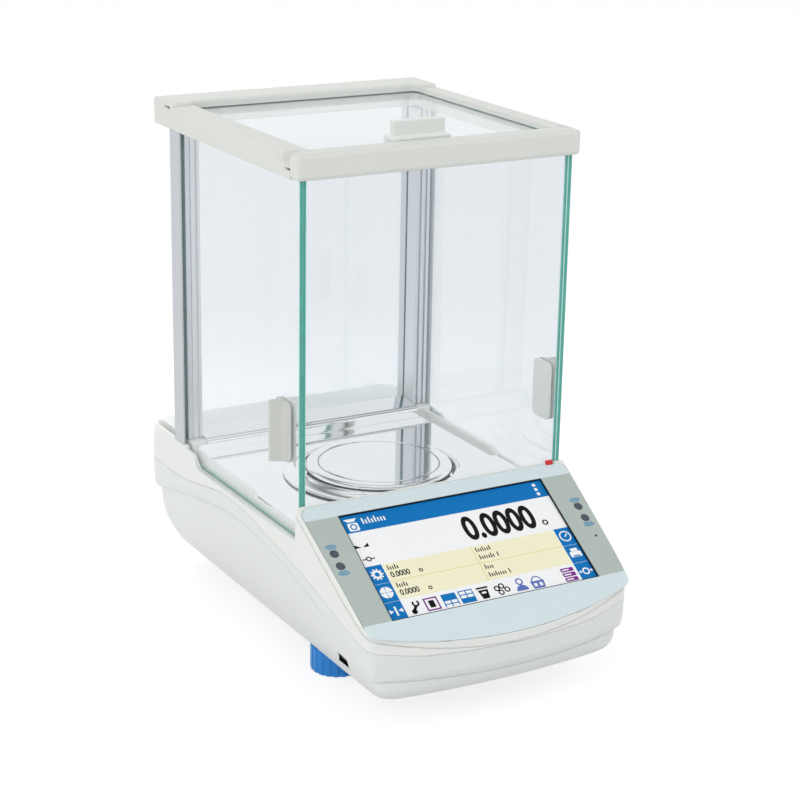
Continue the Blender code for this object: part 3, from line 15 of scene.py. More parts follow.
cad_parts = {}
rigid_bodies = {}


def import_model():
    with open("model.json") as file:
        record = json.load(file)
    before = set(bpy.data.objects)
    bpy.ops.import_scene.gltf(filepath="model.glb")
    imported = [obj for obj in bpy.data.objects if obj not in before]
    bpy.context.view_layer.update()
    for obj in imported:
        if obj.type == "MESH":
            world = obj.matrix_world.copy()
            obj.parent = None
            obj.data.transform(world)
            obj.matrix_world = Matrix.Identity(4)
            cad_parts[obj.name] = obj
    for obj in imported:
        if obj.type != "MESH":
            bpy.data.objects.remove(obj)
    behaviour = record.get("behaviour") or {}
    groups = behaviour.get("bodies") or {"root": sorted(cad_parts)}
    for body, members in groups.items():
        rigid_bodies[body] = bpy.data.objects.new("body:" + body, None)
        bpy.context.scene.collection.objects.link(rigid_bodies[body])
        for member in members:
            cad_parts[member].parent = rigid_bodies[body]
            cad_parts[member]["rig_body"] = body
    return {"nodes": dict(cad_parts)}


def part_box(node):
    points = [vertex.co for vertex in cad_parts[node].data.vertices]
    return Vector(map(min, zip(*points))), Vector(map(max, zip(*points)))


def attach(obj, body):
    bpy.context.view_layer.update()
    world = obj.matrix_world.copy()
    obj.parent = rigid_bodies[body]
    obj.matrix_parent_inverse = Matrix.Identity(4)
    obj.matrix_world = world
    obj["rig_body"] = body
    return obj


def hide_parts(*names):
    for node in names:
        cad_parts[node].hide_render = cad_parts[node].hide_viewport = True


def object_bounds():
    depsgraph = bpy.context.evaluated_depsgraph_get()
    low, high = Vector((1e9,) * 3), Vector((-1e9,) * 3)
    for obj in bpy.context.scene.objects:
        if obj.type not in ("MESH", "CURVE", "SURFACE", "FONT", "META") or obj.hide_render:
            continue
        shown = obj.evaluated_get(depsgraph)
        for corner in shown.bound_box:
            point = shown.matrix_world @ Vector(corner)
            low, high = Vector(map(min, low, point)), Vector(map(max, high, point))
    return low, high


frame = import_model()
CAD_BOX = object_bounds()

bl_info = {
    "name": "Analytical balance looks",
    "version": (1, 0, 0),
    "blender": (4, 5, 0),
    "location": "View3D > Sidebar > Balance",
    "description": "Dresses the solids of an analytical balance with its real finishes",
    "category": "Object",
}

MM = 0.001
MERGE_DISTANCE = 0.001 * MM
FLAT_ANGLE = math.radians(0.4)
SHARP_ANGLE = math.radians(32)
FACET_ANGLE = math.radians(1)
ONE_PANE_DEPTH = 2.5
SIDES = (("left", -1), ("right", 1))

# The screen's face looks up more steeply than the module's upper side does
SCREEN_FACE_LEAST_Z = 0.7

# Turned sheet steel is mirror-polished where it faces up at least this much; its walls and undersides get a dark
# steel, unpolished steel painted far darker as shade in the gaps under the pan's rim and inside the ring
LEAST_POLISHED_Z = 0.1
# Faces this close to the middle of the pan's coined groove get the dark steel, a painted shade line in the groove
SHADED_GROOVE_REACH = 0.3 * MM
FOLD_SHARE = 0.15
# Guide faces that face inward at least this much get the pale lining, painted light in the shade of the door channel
LIT_LINING_FACE_X = 0.9


# Small helpers

def linear(hex_colour):
    """Linear red, green and blue of an sRGB hex colour."""
    values = [int(hex_colour[i:i + 2], 16) / 255 for i in (1, 3, 5)]
    return tuple(v / 12.92 if v <= 0.04045 else ((v + 0.055) / 1.055) ** 2.4 for v in values)


def colour(name, description, value):
    return FloatVectorProperty(name=name, description=description, subtype='COLOR', size=3,
                               min=0.0, max=1.0, default=linear(value))


def length(name, description, millimetres):
    return FloatProperty(name=name, description=description, subtype='DISTANCE', unit='LENGTH',
                         min=0.0, precision=5, default=millimetres * MM)


def per_mm(size):
    """Scale of a pattern whose features are this many millimetres apart."""
    return 1.0 / (size * MM)


def mix(a, b, share):
    return a + (b - a) * share


def shade(base, factor):
    """A colour made lighter or darker by a factor, as a socket's value."""
    return (*(min(c * factor, 1.0) for c in base), 1.0)


def pick(sockets, key):
    """A socket by its number, its identifier or its name."""
    if isinstance(key, int):
        return sockets[key]
    return next((s for s in sockets if s.identifier == key), None) or sockets[key]


def add_node(tree, kind, inputs=None, **settings):
    """One shader node with its settings; an input takes a value or another node's output."""
    node = tree.nodes.new(kind)
    for name, value in settings.items():
        setattr(node, name, value)
    for key, value in (inputs or {}).items():
        socket = pick(node.inputs, key)
        if isinstance(value, bpy.types.NodeSocket):
            tree.links.new(value, socket)
        else:
            socket.default_value = value
    return node


# Settings that a user would change

class BalanceFinishes(bpy.types.PropertyGroup):
    upper_plastic: colour("Upper housing", "Warm white ABS of the upper housing", "#e6e7e3")
    lower_plastic: colour("Lower housing", "Slightly greyer ABS of the lower housing", "#e0e2e0")
    frame_plastic: colour("Top frame", "Ivory white ABS of the top frame and handles", "#dadbd6")
    # Grip ivory, darker than the frame's ivory: painted shade for the grips' outward faces
    grip_ivory_shaded: colour("Grips", "Ivory ABS of the side doors' grips", "#c9cac5")
    film_blue: colour("Film", "Ice-blue ground of the panel's printed film", "#d3dfe2")
    film_grey: colour("Film sides", "Grey-green bands beside the screen", "#b0bab4")
    film_mark: colour("Film marks", "Blue printed sensor marks", "#4a8db2")
    header_blue: colour("Screen blue", "Header and buttons on the screen", "#0070b6")
    page_white: colour("Screen page", "Ground of the screen", "#f0f0f1")
    field_yellow: colour("Screen fields", "Pale data fields on the screen", "#efeacb")
    field_line: colour("Screen field lines", "Lines between the data fields", "#e0d395")
    ink: colour("Screen ink", "Digits and dark symbols on the screen", "#0b0b0d")
    purple: colour("Screen purple", "Purple symbol on the screen", "#7d2a8c")
    slate: colour("Screen slate", "Slate-blue symbols on the screen", "#5a70b4")
    glass_tint: colour("Glass", "Tint of one pane of the draft shield", "#eff2f4")
    glass_edge: colour("Glass edge", "Green body colour that shows at a pane's edge", "#4da394")
    seal: colour("Seal", "Clear green seal beside the front pane", "#43a093")
    # Pale arris colour: partly the frost of the ground corner, partly a painted highlight along the pane's edges
    arris_frost_and_highlight: colour("Glass arris", "Pale ground corner along a pane's edge", "#a9ddd4")
    aluminium: colour("Aluminium", "Satin anodised extrusions", "#d6dade")
    # Pale lining on the guides' inner faces: a pale colour as painted light where the door channel shades them
    lining_painted_light: colour("Track lining", "Pale felt on the inner faces of the guide strips", "#eef0f2")
    guide_grey: colour("Guides", "Bead-blasted guide strips of the side doors", "#c9ccd0")
    polished_steel: colour("Polished steel", "Mirror-polished stainless steel", "#f9fafa")
    # Dark steel for the walls and undersides of the pan and its ring: steel painted far darker than it is, as painted
    # shade in the gaps round the pan
    steel_painted_shade: colour("Shade steel", "Shaded walls and undersides of the pan and its ring", "#5e5f61")
    plain_steel: colour("Steel", "Plain pressed or turned steel", "#b9babd")
    casting: colour("Casting", "Bare cast aluminium", "#a9abad")
    brass: colour("Brass", "Turned brass", "#c9a55e")
    foot_blue: colour("Foot blue", "Bright blue plastic of the levelling wheels", "#027ac8")
    stop_red: colour("Stop red", "Red plastic of the pane stop", "#d01820")
    black: colour("Black plastic", "Connector bodies, liners and plugs", "#17181a")
    lens: colour("Lens", "Dark infra-red windows", "#454f58")
    rubber: colour("Rubber", "Rear feet", "#242526")
    board: colour("Board", "Green solder mask", "#1f5a38")


class BalanceSizes(bpy.types.PropertyGroup):
    housing_rounding: length("Housing edges", "Rounding of the housing's moulded edges", 0.7)
    frame_rounding: length("Frame edges", "Rounding of the top frame's edges", 0.5)
    metal_rounding: length("Metal edges", "Rounding of sheet and extrusion edges", 0.2)
    arris: length("Glass arris", "Width of the ground corners along a pane's edges", 0.35)
    print_thickness: length("Print thickness", "Thickness of one printed or lit layer", 0.05)
    screen_margin: length("Screen margin", "Dark border between the lit page and its window", 0.5)
    liner: length("Screen liner", "Thickness of the black liner round the screen's window", 0.25)
    pan_rim: length("Pan rim", "Height of the pan's rolled rim", 6.0)
    pan_sheet: length("Pan sheet", "Thickness of the pan's sheet", 1.5)
    pan_groove: length("Pan groove", "Radius of the ring coined into the pan", 41.5)
    groove_depth: length("Groove depth", "Depth of the ring coined into the pan", 0.5)
    groove_reach: length("Groove reach", "Half the width of the ring coined into the pan", 1.1)
    ring_lip: length("Ring lip", "Height of the draft ring's outer edge", 1.7)
    notch_height: length("Notch height", "Height of the frame's latch notches", 1.7)


class BalanceStage(bpy.types.PropertyGroup):
    camera_place: FloatVectorProperty(name="Camera", description="Where the camera stands", subtype='TRANSLATION',
                                      size=3, default=(-0.6518, -1.1515, 0.5880))
    yaw: FloatProperty(name="Yaw", description="Camera's turn to the left", subtype='ANGLE',
                       default=math.radians(-29.64))
    pitch: FloatProperty(name="Pitch", description="Camera's tilt up", subtype='ANGLE',
                         default=math.radians(-18.51))
    roll: FloatProperty(name="Roll", description="Camera's lean", subtype='ANGLE', default=math.radians(0.99))
    lens: FloatProperty(name="Lens", description="Focal length in millimetres on a 36 mm sensor",
                        default=92.57, min=1.0)
    shift: FloatVectorProperty(name="Shift", description="Camera shift across and up", size=2,
                               default=(0.0136, 0.0218))
    dome: FloatProperty(name="Dome", description="Strength of the even light from all round", default=0.72, min=0.0)
    key: FloatProperty(name="Key", description="Power of the soft lamp at the front left in watts",
                       default=28.0, min=0.0)
    fill: FloatProperty(name="Fill", description="Power of the soft lamp at the right in watts",
                        default=11.0, min=0.0)
    back: FloatProperty(name="Back", description="Power of the small soft lamp behind in watts", default=2.0, min=0.0)
    floor: colour("Floor", "Plain pale floor as it lights the balance", "#e6e6e6")
    floor_seen: colour("Floor seen", "The floor's own shade for the eye, which carries the shadow", "#8a8a8a")
    floor_lift: FloatProperty(name="Floor lift", description="White added to the floor for the eye",
                              default=0.79, min=0.0)
    floor_size: FloatProperty(name="Floor size", description="Side of the floor", subtype='DISTANCE', unit='LENGTH',
                              default=60.0, min=1.0)


# Materials

def new_material(name):
    material = bpy.data.materials.new(name)
    material.use_nodes = True
    return material, material.node_tree, material.node_tree.nodes["Principled BSDF"]


def finish(name, base, recipe):
    """A material by name, made by its recipe the first time it is asked for."""
    material = bpy.data.materials.get(name)
    if material is None:
        material, tree, shader = new_material(name)
        recipe(tree, shader, tuple(base))
    return material


def object_place(tree):
    return add_node(tree, "ShaderNodeTexCoord").outputs["Object"]


def tone(tree, shader, place, base, size, spread):
    """Slow change of tone over a surface, as in moulded or cast material."""
    drift = add_node(tree, "ShaderNodeTexNoise", {"Vector": place, "Scale": per_mm(size), "Detail": 2.0})
    mixed = add_node(tree, "ShaderNodeMix", {"Factor_Float": drift.outputs["Fac"],
                                             "A_Color": shade(base, 1.0 - spread),
                                             "B_Color": shade(base, 1.0 + spread)}, data_type='RGBA')
    tree.links.new(pick(mixed.outputs, "Result_Color"), shader.inputs["Base Color"])


def roughness_from(tree, shader, factor, low, high):
    spread = add_node(tree, "ShaderNodeMapRange", {"Value": factor, "To Min": low, "To Max": high})
    tree.links.new(spread.outputs["Result"], shader.inputs["Roughness"])


def bump_from(tree, shader, height, depth, strength):
    """Relief of a surface: depth in millimetres."""
    bump = add_node(tree, "ShaderNodeBump", {"Height": height, "Distance": depth * MM, "Strength": strength})
    tree.links.new(bump.outputs["Normal"], shader.inputs["Normal"])


def moulded_abs(tree, shader, base):
    """ABS from a spark-eroded mould: satin, with an even fine grain that softens highlights.

    The real grain is about 0.1 mm; it is drawn at 0.5 mm so that it shows.
    """
    place = object_place(tree)
    tone(tree, shader, place, base, 45, 0.012)
    grain = add_node(tree, "ShaderNodeTexNoise", {"Vector": place, "Scale": per_mm(0.5), "Detail": 3.0})
    roughness_from(tree, shader, grain.outputs["Fac"], 0.40, 0.52)
    bump_from(tree, shader, grain.outputs["Fac"], 0.02, 0.25)


def gloss_plastic(tree, shader, base):
    """Polypropylene from a polished mould: smooth, with a soft shine and faint flow marks."""
    place = object_place(tree)
    tone(tree, shader, place, base, 12, 0.05)
    flow = add_node(tree, "ShaderNodeTexNoise", {"Vector": place, "Scale": per_mm(4), "Detail": 4.0})
    roughness_from(tree, shader, flow.outputs["Fac"], 0.28, 0.40)
    bump_from(tree, shader, flow.outputs["Fac"], 0.03, 0.15)


def moulded_rubber(tree, shader, base):
    """Natural rubber: matt, dusty on its high spots."""
    place = object_place(tree)
    tone(tree, shader, place, base, 6, 0.2)
    dust = add_node(tree, "ShaderNodeTexNoise", {"Vector": place, "Scale": per_mm(0.8), "Detail": 5.0})
    roughness_from(tree, shader, dust.outputs["Fac"], 0.75, 0.95)
    bump_from(tree, shader, dust.outputs["Fac"], 0.05, 0.4)


def wool_felt(tree, shader, base):
    """Pressed wool felt: quite matt, with short fibres lying every way."""
    place = object_place(tree)
    tone(tree, shader, place, base, 5, 0.06)
    fibres = add_node(tree, "ShaderNodeTexNoise", {"Vector": place, "Scale": per_mm(0.3), "Detail": 6.0})
    roughness_from(tree, shader, fibres.outputs["Fac"], 0.85, 1.0)
    bump_from(tree, shader, fibres.outputs["Fac"], 0.06, 0.5)


def ground_edge(tree, shader, base):
    """Polished edge of float glass: the iron in the glass shows green, streaked along the cut."""
    place = object_place(tree)
    tone(tree, shader, place, base, 9, 0.16)
    streak = add_node(tree, "ShaderNodeTexNoise", {"Vector": place, "Scale": per_mm(1.5), "Detail": 2.0})
    roughness_from(tree, shader, streak.outputs["Fac"], 0.10, 0.22)


def float_glass(tree, shader, base):
    """Float glass: mirror-smooth and clear; lamps, bounced light and mirror images pass it unbent."""
    shader.inputs["Base Color"].default_value = (*base, 1.0)
    shader.inputs["Roughness"].default_value = 0.0
    shader.inputs["IOR"].default_value = 1.52
    shader.inputs["Transmission Weight"].default_value = 1.0
    rays = add_node(tree, "ShaderNodeLightPath")
    lighting = add_node(tree, "ShaderNodeMath", {0: rays.outputs["Is Shadow Ray"],
                                                 1: rays.outputs["Is Diffuse Ray"]}, operation='MAXIMUM')
    beyond = add_node(tree, "ShaderNodeMath", {0: rays.outputs["Ray Depth"], 1: ONE_PANE_DEPTH},
                      operation='GREATER_THAN')
    mirrored = add_node(tree, "ShaderNodeMath", {0: beyond.outputs[0], 1: rays.outputs["Is Transmission Ray"]},
                        operation='SUBTRACT')
    glossy = add_node(tree, "ShaderNodeMath", {0: mirrored.outputs[0], 1: rays.outputs["Is Glossy Ray"]},
                      operation='MULTIPLY')
    passing = add_node(tree, "ShaderNodeMath", {0: lighting.outputs[0], 1: glossy.outputs[0]}, operation='MAXIMUM')
    surface_tint = (*(c ** 0.25 for c in base), 1.0)
    clear = add_node(tree, "ShaderNodeBsdfTransparent", {"Color": surface_tint})
    mixed = add_node(tree, "ShaderNodeMixShader", {0: passing.outputs[0], 1: shader.outputs[0], 2: clear.outputs[0]})
    tree.links.new(mixed.outputs[0], tree.nodes["Material Output"].inputs["Surface"])


def anodised_aluminium(tree, shader, base):
    """Extruded and anodised aluminium: satin grey with die lines along its length."""
    place = object_place(tree)
    along = add_node(tree, "ShaderNodeMapping", {"Vector": place, "Scale": (per_mm(0.6), per_mm(0.6), per_mm(120))})
    lines = add_node(tree, "ShaderNodeTexNoise", {"Vector": along.outputs["Vector"], "Scale": 1.0, "Detail": 2.0})
    tone(tree, shader, place, base, 30, 0.02)
    shader.inputs["Metallic"].default_value = 1.0
    roughness_from(tree, shader, lines.outputs["Fac"], 0.30, 0.42)
    bump_from(tree, shader, lines.outputs["Fac"], 0.01, 0.2)


def matt_aluminium(tree, shader, base):
    """Bead-blasted and anodised aluminium: an even matt grey with a fine frosted grain."""
    place = object_place(tree)
    tone(tree, shader, place, base, 30, 0.02)
    shader.inputs["Metallic"].default_value = 0.25
    frost = add_node(tree, "ShaderNodeTexNoise", {"Vector": place, "Scale": per_mm(0.5), "Detail": 4.0})
    roughness_from(tree, shader, frost.outputs["Fac"], 0.5, 0.65)
    bump_from(tree, shader, frost.outputs["Fac"], 0.015, 0.25)


def mirror_steel(tree, shader, base):
    """Mirror-polished stainless steel: sharp reflections with a faint polishing haze."""
    place = object_place(tree)
    tone(tree, shader, place, base, 25, 0.015)
    shader.inputs["Metallic"].default_value = 1.0
    haze = add_node(tree, "ShaderNodeTexNoise", {"Vector": place, "Scale": per_mm(6), "Detail": 6.0})
    roughness_from(tree, shader, haze.outputs["Fac"], 0.03, 0.08)


def plain_metal(tree, shader, base):
    """Turned or pressed metal: tool marks break up a dull shine."""
    place = object_place(tree)
    tone(tree, shader, place, base, 8, 0.04)
    shader.inputs["Metallic"].default_value = 1.0
    marks = add_node(tree, "ShaderNodeTexNoise", {"Vector": place, "Scale": per_mm(0.6), "Detail": 4.0})
    roughness_from(tree, shader, marks.outputs["Fac"], 0.25, 0.42)
    bump_from(tree, shader, marks.outputs["Fac"], 0.01, 0.25)


def cast_metal(tree, shader, base):
    """Die-cast aluminium left bare: a dull, slightly pitted skin."""
    place = object_place(tree)
    tone(tree, shader, place, base, 14, 0.07)
    shader.inputs["Metallic"].default_value = 0.9
    pits = add_node(tree, "ShaderNodeTexNoise", {"Vector": place, "Scale": per_mm(1.2), "Detail": 5.0})
    roughness_from(tree, shader, pits.outputs["Fac"], 0.5, 0.7)
    bump_from(tree, shader, pits.outputs["Fac"], 0.06, 0.4)


def circuit_board(tree, shader, base):
    """Solder mask over copper tracks: glossy green, paler where tracks run underneath."""
    place = object_place(tree)
    tracks = add_node(tree, "ShaderNodeTexBrick", {"Vector": place, "Scale": 1.0, "Brick Width": 9 * MM,
                                                   "Row Height": 2.4 * MM, "Mortar Size": 0.35 * MM,
                                                   "Color1": shade(base, 1.0), "Color2": shade(base, 0.85),
                                                   "Mortar": shade(base, 1.7)})
    tree.links.new(tracks.outputs["Color"], shader.inputs["Base Color"])
    shader.inputs["Roughness"].default_value = 0.35


def lit_display(tree, shader, base):
    """A layer of the lit picture: even colour with the faint rows of an LCD and a little light of its own.

    The real rows are about 0.15 mm apart; they are drawn at 0.6 mm.
    """
    place = object_place(tree)
    rows = add_node(tree, "ShaderNodeTexWave", {"Vector": place, "Scale": per_mm(0.6) / 20, "Distortion": 0.0},
                    bands_direction='X')
    mixed = add_node(tree, "ShaderNodeMix", {"Factor_Float": rows.outputs["Fac"], "A_Color": shade(base, 0.75),
                                             "B_Color": shade(base, 0.76)}, data_type='RGBA')
    tree.links.new(pick(mixed.outputs, "Result_Color"), shader.inputs["Base Color"])
    shader.inputs["Emission Color"].default_value = (*base, 1.0)
    shader.inputs["Emission Strength"].default_value = 0.26
    shader.inputs["Specular IOR Level"].default_value = 0.15
    shader.inputs["Roughness"].default_value = 0.35


def plastic(name, base):
    return finish(name, base, moulded_abs)


# Making pieces

def add_piece(name, bm, materials, body, sharp=SHARP_ANGLE):
    """A new piece of the balance that moves with a body; edges that turn by more than an angle stay sharp."""
    mesh = bpy.data.meshes.new(name)
    bm.normal_update()
    bm.to_mesh(mesh)
    bm.free()
    for material in materials:
        mesh.materials.append(material)
    mesh.shade_smooth()
    mesh.set_sharp_from_angle(angle=sharp)
    piece = bpy.data.objects.new(name, mesh)
    bpy.context.scene.collection.objects.link(piece)
    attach(piece, body)
    return piece


def merged_copy(node):
    """The frame's solid as one connected mesh with its flat faces whole again."""
    bm = bmesh.new()
    bm.from_mesh(frame["nodes"][node].data)
    bmesh.ops.remove_doubles(bm, verts=bm.verts[:], dist=MERGE_DISTANCE)
    bmesh.ops.dissolve_limit(bm, angle_limit=FLAT_ANGLE, verts=bm.verts[:], edges=bm.edges[:])
    return bm


def soften(piece, rounding, sharp, segments=2):
    """Small rounding along a piece's sharp edges."""
    bevel = piece.modifiers.new("Rounded edges", 'BEVEL')
    bevel.width = rounding
    bevel.segments = segments
    bevel.limit_method = 'ANGLE'
    bevel.angle_limit = sharp
    bevel.use_clamp_overlap = True
    bevel.harden_normals = True


def flatten_shading(piece):
    """Lets the large flat faces keep their own direction beside small rounded ones."""
    weigh = piece.modifiers.new("Large faces lead", 'WEIGHTED_NORMAL')
    weigh.mode = 'FACE_AREA'
    weigh.weight = 100
    weigh.keep_sharp = True


def dressed(node, name, material, rounding=0.0, sharp=SHARP_ANGLE, bm=None):
    """A smooth, softly edged copy of a frame solid, or a mesh made from it, standing in for it."""
    body = frame["nodes"][node]["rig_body"]
    piece = add_piece(name, bm or merged_copy(node), [material], body, sharp)
    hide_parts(node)
    if rounding:
        soften(piece, rounding, sharp)
    flatten_shading(piece)
    return piece


def finish_node(node, material):
    """A frame solid that is right as it is, with a better material."""
    item = frame["nodes"][node]
    if item.material_slots:
        item.material_slots[0].material = material
    else:
        item.data.materials.append(material)


def block(bm, low, high, place=Matrix.Identity(4)):
    """A box between two corners, moved to a place."""
    low, high = Vector(low), Vector(high)
    made = bmesh.ops.create_cube(bm, size=1.0)["verts"]
    bmesh.ops.scale(bm, vec=high - low, verts=made)
    bmesh.ops.translate(bm, vec=(low + high) / 2, verts=made)
    bmesh.ops.transform(bm, matrix=place, verts=made)
    return made


def turned(bm, profile, place=Matrix.Identity(4), steps=96):
    """A profile of (radius, height) points turned about Z and moved to a place."""
    points = [bm.verts.new((radius, 0.0, height)) for radius, height in profile]
    edges = [bm.edges.new(pair) for pair in zip(points, points[1:])]
    if profile[0][0] > 0:
        edges.append(bm.edges.new((points[-1], points[0])))
    old = set(bm.verts) - set(points)
    bmesh.ops.spin(bm, geom=points + edges, axis=(0, 0, 1), cent=(0, 0, 0), dvec=(0, 0, 0),
                   angle=2 * math.pi, steps=steps, use_merge=True)
    made = [v for v in bm.verts if v not in old]
    bmesh.ops.remove_doubles(bm, verts=made, dist=MERGE_DISTANCE)
    made = [v for v in bm.verts if v not in old]
    bmesh.ops.recalc_face_normals(bm, faces=list({f for v in made for f in v.link_faces}))
    bmesh.ops.transform(bm, matrix=place, verts=made)
    return made


def swept(bm, profile, middle, reach, place):
    """A closed profile of (radius, height) points swept about Z, so many degrees to each side of its middle."""
    start = math.radians(middle - reach)
    points = [bm.verts.new((r * math.cos(start), r * math.sin(start), z)) for r, z in profile]
    face = bm.faces.new(points)
    old = set(bm.verts) - set(points)
    bmesh.ops.spin(bm, geom=[face] + points + list(face.edges), axis=(0, 0, 1), cent=(0, 0, 0),
                   dvec=(0, 0, 0), angle=math.radians(2 * reach), steps=12, use_merge=False)
    made = [v for v in bm.verts if v not in old]
    bmesh.ops.recalc_face_normals(bm, faces=list({f for v in made for f in v.link_faces}))
    bmesh.ops.transform(bm, matrix=place, verts=made)


def prism(bm, points, depth):
    """A closed solid from a flat outline of points and the vector that gives it depth."""
    base = [bm.verts.new(point) for point in points]
    face = bm.faces.new(base)
    grown = bmesh.ops.extrude_face_region(bm, geom=[face])["geom"]
    moved = [item for item in grown if isinstance(item, bmesh.types.BMVert)]
    bmesh.ops.translate(bm, vec=depth, verts=moved)
    made = base + moved
    bmesh.ops.recalc_face_normals(bm, faces=list({f for v in made for f in v.link_faces}))
    return made


def film_height(place):
    """How far the panel film's face stands above the screen."""
    inverse = place.inverted()
    return max((inverse @ v.co).z for v in frame["nodes"]["front_panel"].data.vertices)


def min_radius(node, height):
    """Smallest distance from a round solid's upright axis among its points at one height."""
    low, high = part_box(node)
    axis = (low + high) / 2
    points = [v.co for v in frame["nodes"][node].data.vertices if abs(v.co.z - height) < 0.05 * MM]
    return min(math.hypot(p.x - axis.x, p.y - axis.y) for p in points)


def arc(centre, radius, start, end, steps):
    angles = [math.radians(mix(start, end, i / steps)) for i in range(steps + 1)]
    return [(centre[0] + radius * math.cos(a), centre[1] + radius * math.sin(a)) for a in angles]


def screen_face():
    """Where the screen lies: a matrix with x to the right, y up the slope and z out, and its size."""
    mesh = frame["nodes"]["display_module"].data
    faces = [f for f in mesh.polygons if f.normal.z > SCREEN_FACE_LEAST_Z]
    normal = faces[0].normal.normalized()
    right = Vector((1.0, 0.0, 0.0))
    up = normal.cross(right)
    points = [mesh.vertices[i].co for f in faces for i in f.vertices]
    centre = sum((Vector(map(pick_end, zip(*points))) for pick_end in (min, max)), Vector()) / 2
    width = max(p.x for p in points) - min(p.x for p in points)
    heights = [(p - centre).dot(up) for p in points]
    turn = Matrix((right, up, normal)).transposed().to_4x4()
    return Matrix.Translation(centre) @ turn, width, max(heights) - min(heights)


# Operators

class BALANCE_OT_stage(bpy.types.Operator):
    """Camera, pale floor, even white surroundings and three soft lamps"""
    bl_idname = "balance.stage"
    bl_label = "Stage"

    # How bright polished metal sees the room, by the sine of the angle above the horizon
    ROOM = ((0.0, 1.0), (0.50, 1.0), (0.64, 0.45), (0.76, 0.16), (0.90, 1.0))

    def execute(self, context):
        stage = context.scene.balance_stage
        context.scene.view_settings.view_transform = 'Standard'
        self.add_camera(context, stage)
        self.add_floor(context, stage)
        self.add_surroundings(context, stage)
        self.add_lamp(context, "Key lamp", stage.key, 2.0, (-2.2, -1.1, 1.6))
        self.add_lamp(context, "Fill lamp", stage.fill, 1.6, (1.8, -0.8, 1.3))
        self.add_lamp(context, "Back lamp", stage.back, 0.2, (0.0, 0.62, 0.42))
        return {'FINISHED'}

    def add_camera(self, context, stage):
        data = bpy.data.cameras.new("Camera")
        data.lens = stage.lens
        data.sensor_width = 36.0
        data.shift_x, data.shift_y = stage.shift
        data.dof.use_dof = False
        camera = bpy.data.objects.new("Camera", data)
        forward = Vector((-math.sin(stage.yaw) * math.cos(stage.pitch),
                          math.cos(stage.yaw) * math.cos(stage.pitch), math.sin(stage.pitch)))
        right = Vector((math.cos(stage.yaw), math.sin(stage.yaw), 0.0))
        up = right.cross(forward)
        lean = Matrix.Rotation(-stage.roll, 3, forward)
        turn = Matrix((lean @ right, lean @ up, -forward)).transposed().to_4x4()
        camera.matrix_world = Matrix.Translation(stage.camera_place) @ turn
        context.scene.collection.objects.link(camera)
        context.scene.camera = camera

    def add_floor(self, context, stage):
        bm = bmesh.new()
        bmesh.ops.create_grid(bm, x_segments=1, y_segments=1, size=stage.floor_size / 2)
        mesh = bpy.data.meshes.new("Floor")
        bm.to_mesh(mesh)
        bm.free()
        material, tree, shader = new_material("Pale matt floor")
        shader.inputs["Roughness"].default_value = 0.9
        shader.inputs["Specular IOR Level"].default_value = 0.1
        shader.inputs["Emission Color"].default_value = (1.0, 1.0, 1.0, 1.0)
        seen = self.seen_rays(tree)
        ground = add_node(tree, "ShaderNodeMix", {"Factor_Float": seen, "A_Color": (*stage.floor, 1.0),
                                                  "B_Color": (*stage.floor_seen, 1.0)}, data_type='RGBA')
        tree.links.new(pick(ground.outputs, "Result_Color"), shader.inputs["Base Color"])
        lift = add_node(tree, "ShaderNodeMath", {0: seen, 1: stage.floor_lift}, operation='MULTIPLY')
        tree.links.new(lift.outputs[0], shader.inputs["Emission Strength"])
        mesh.materials.append(material)
        floor = bpy.data.objects.new("Floor", mesh)
        context.scene.collection.objects.link(floor)

    def seen_rays(self, tree):
        """One for rays from the eye, by mirror or through glass too, and nought for rays that light things."""
        rays = add_node(tree, "ShaderNodeLightPath")
        mirrored = add_node(tree, "ShaderNodeMath", {0: rays.outputs["Is Glossy Ray"],
                                                     1: rays.outputs["Is Transmission Ray"]}, operation='MAXIMUM')
        seen = add_node(tree, "ShaderNodeMath", {0: rays.outputs["Is Camera Ray"], 1: mirrored.outputs[0]},
                        operation='MAXIMUM')
        return seen.outputs[0]

    def add_surroundings(self, context, stage):
        """An even dome that lights, white for the eye, with a dim band under the overhead light in mirrors."""
        world = bpy.data.worlds.new("White studio")
        context.scene.world = world
        world.use_nodes = True
        tree = world.node_tree
        tree.nodes.clear()
        lights = add_node(tree, "ShaderNodeBackground", {"Color": (0.97, 0.99, 1.0, 1.0), "Strength": stage.dome})
        way = add_node(tree, "ShaderNodeTexCoord").outputs["Generated"]
        height = add_node(tree, "ShaderNodeSeparateXYZ", {"Vector": way}).outputs["Z"]
        room = add_node(tree, "ShaderNodeValToRGB", {"Fac": height})
        stops = room.color_ramp.elements
        stops.remove(stops[0])
        for place, level in self.ROOM:
            stops.new(place).color = (level, level, level, 1.0)
        glossy = add_node(tree, "ShaderNodeLightPath").outputs["Is Glossy Ray"]
        view = add_node(tree, "ShaderNodeMix", {"Factor_Float": glossy, "A_Color": (1.0, 1.0, 1.0, 1.0),
                                                "B_Color": room.outputs["Color"]}, data_type='RGBA')
        white = add_node(tree, "ShaderNodeBackground", {"Color": pick(view.outputs, "Result_Color"),
                                                        "Strength": 1.0})
        mixed = add_node(tree, "ShaderNodeMixShader", {0: self.seen_rays(tree), 1: lights.outputs[0],
                                                       2: white.outputs[0]})
        add_node(tree, "ShaderNodeOutputWorld", {"Surface": mixed.outputs[0]})

    def add_lamp(self, context, name, power, size, place):
        data = bpy.data.lights.new(name, 'AREA')
        data.energy = power
        data.size = size
        lamp = bpy.data.objects.new(name, data)
        aim = (CAD_BOX[0] + CAD_BOX[1]) / 2 - Vector(place)
        lamp.matrix_world = Matrix.Translation(place) @ aim.to_track_quat('-Z', 'Y').to_matrix().to_4x4()
        lamp.visible_camera = False
        lamp.visible_glossy = False
        lamp.visible_transmission = False
        context.scene.collection.objects.link(lamp)


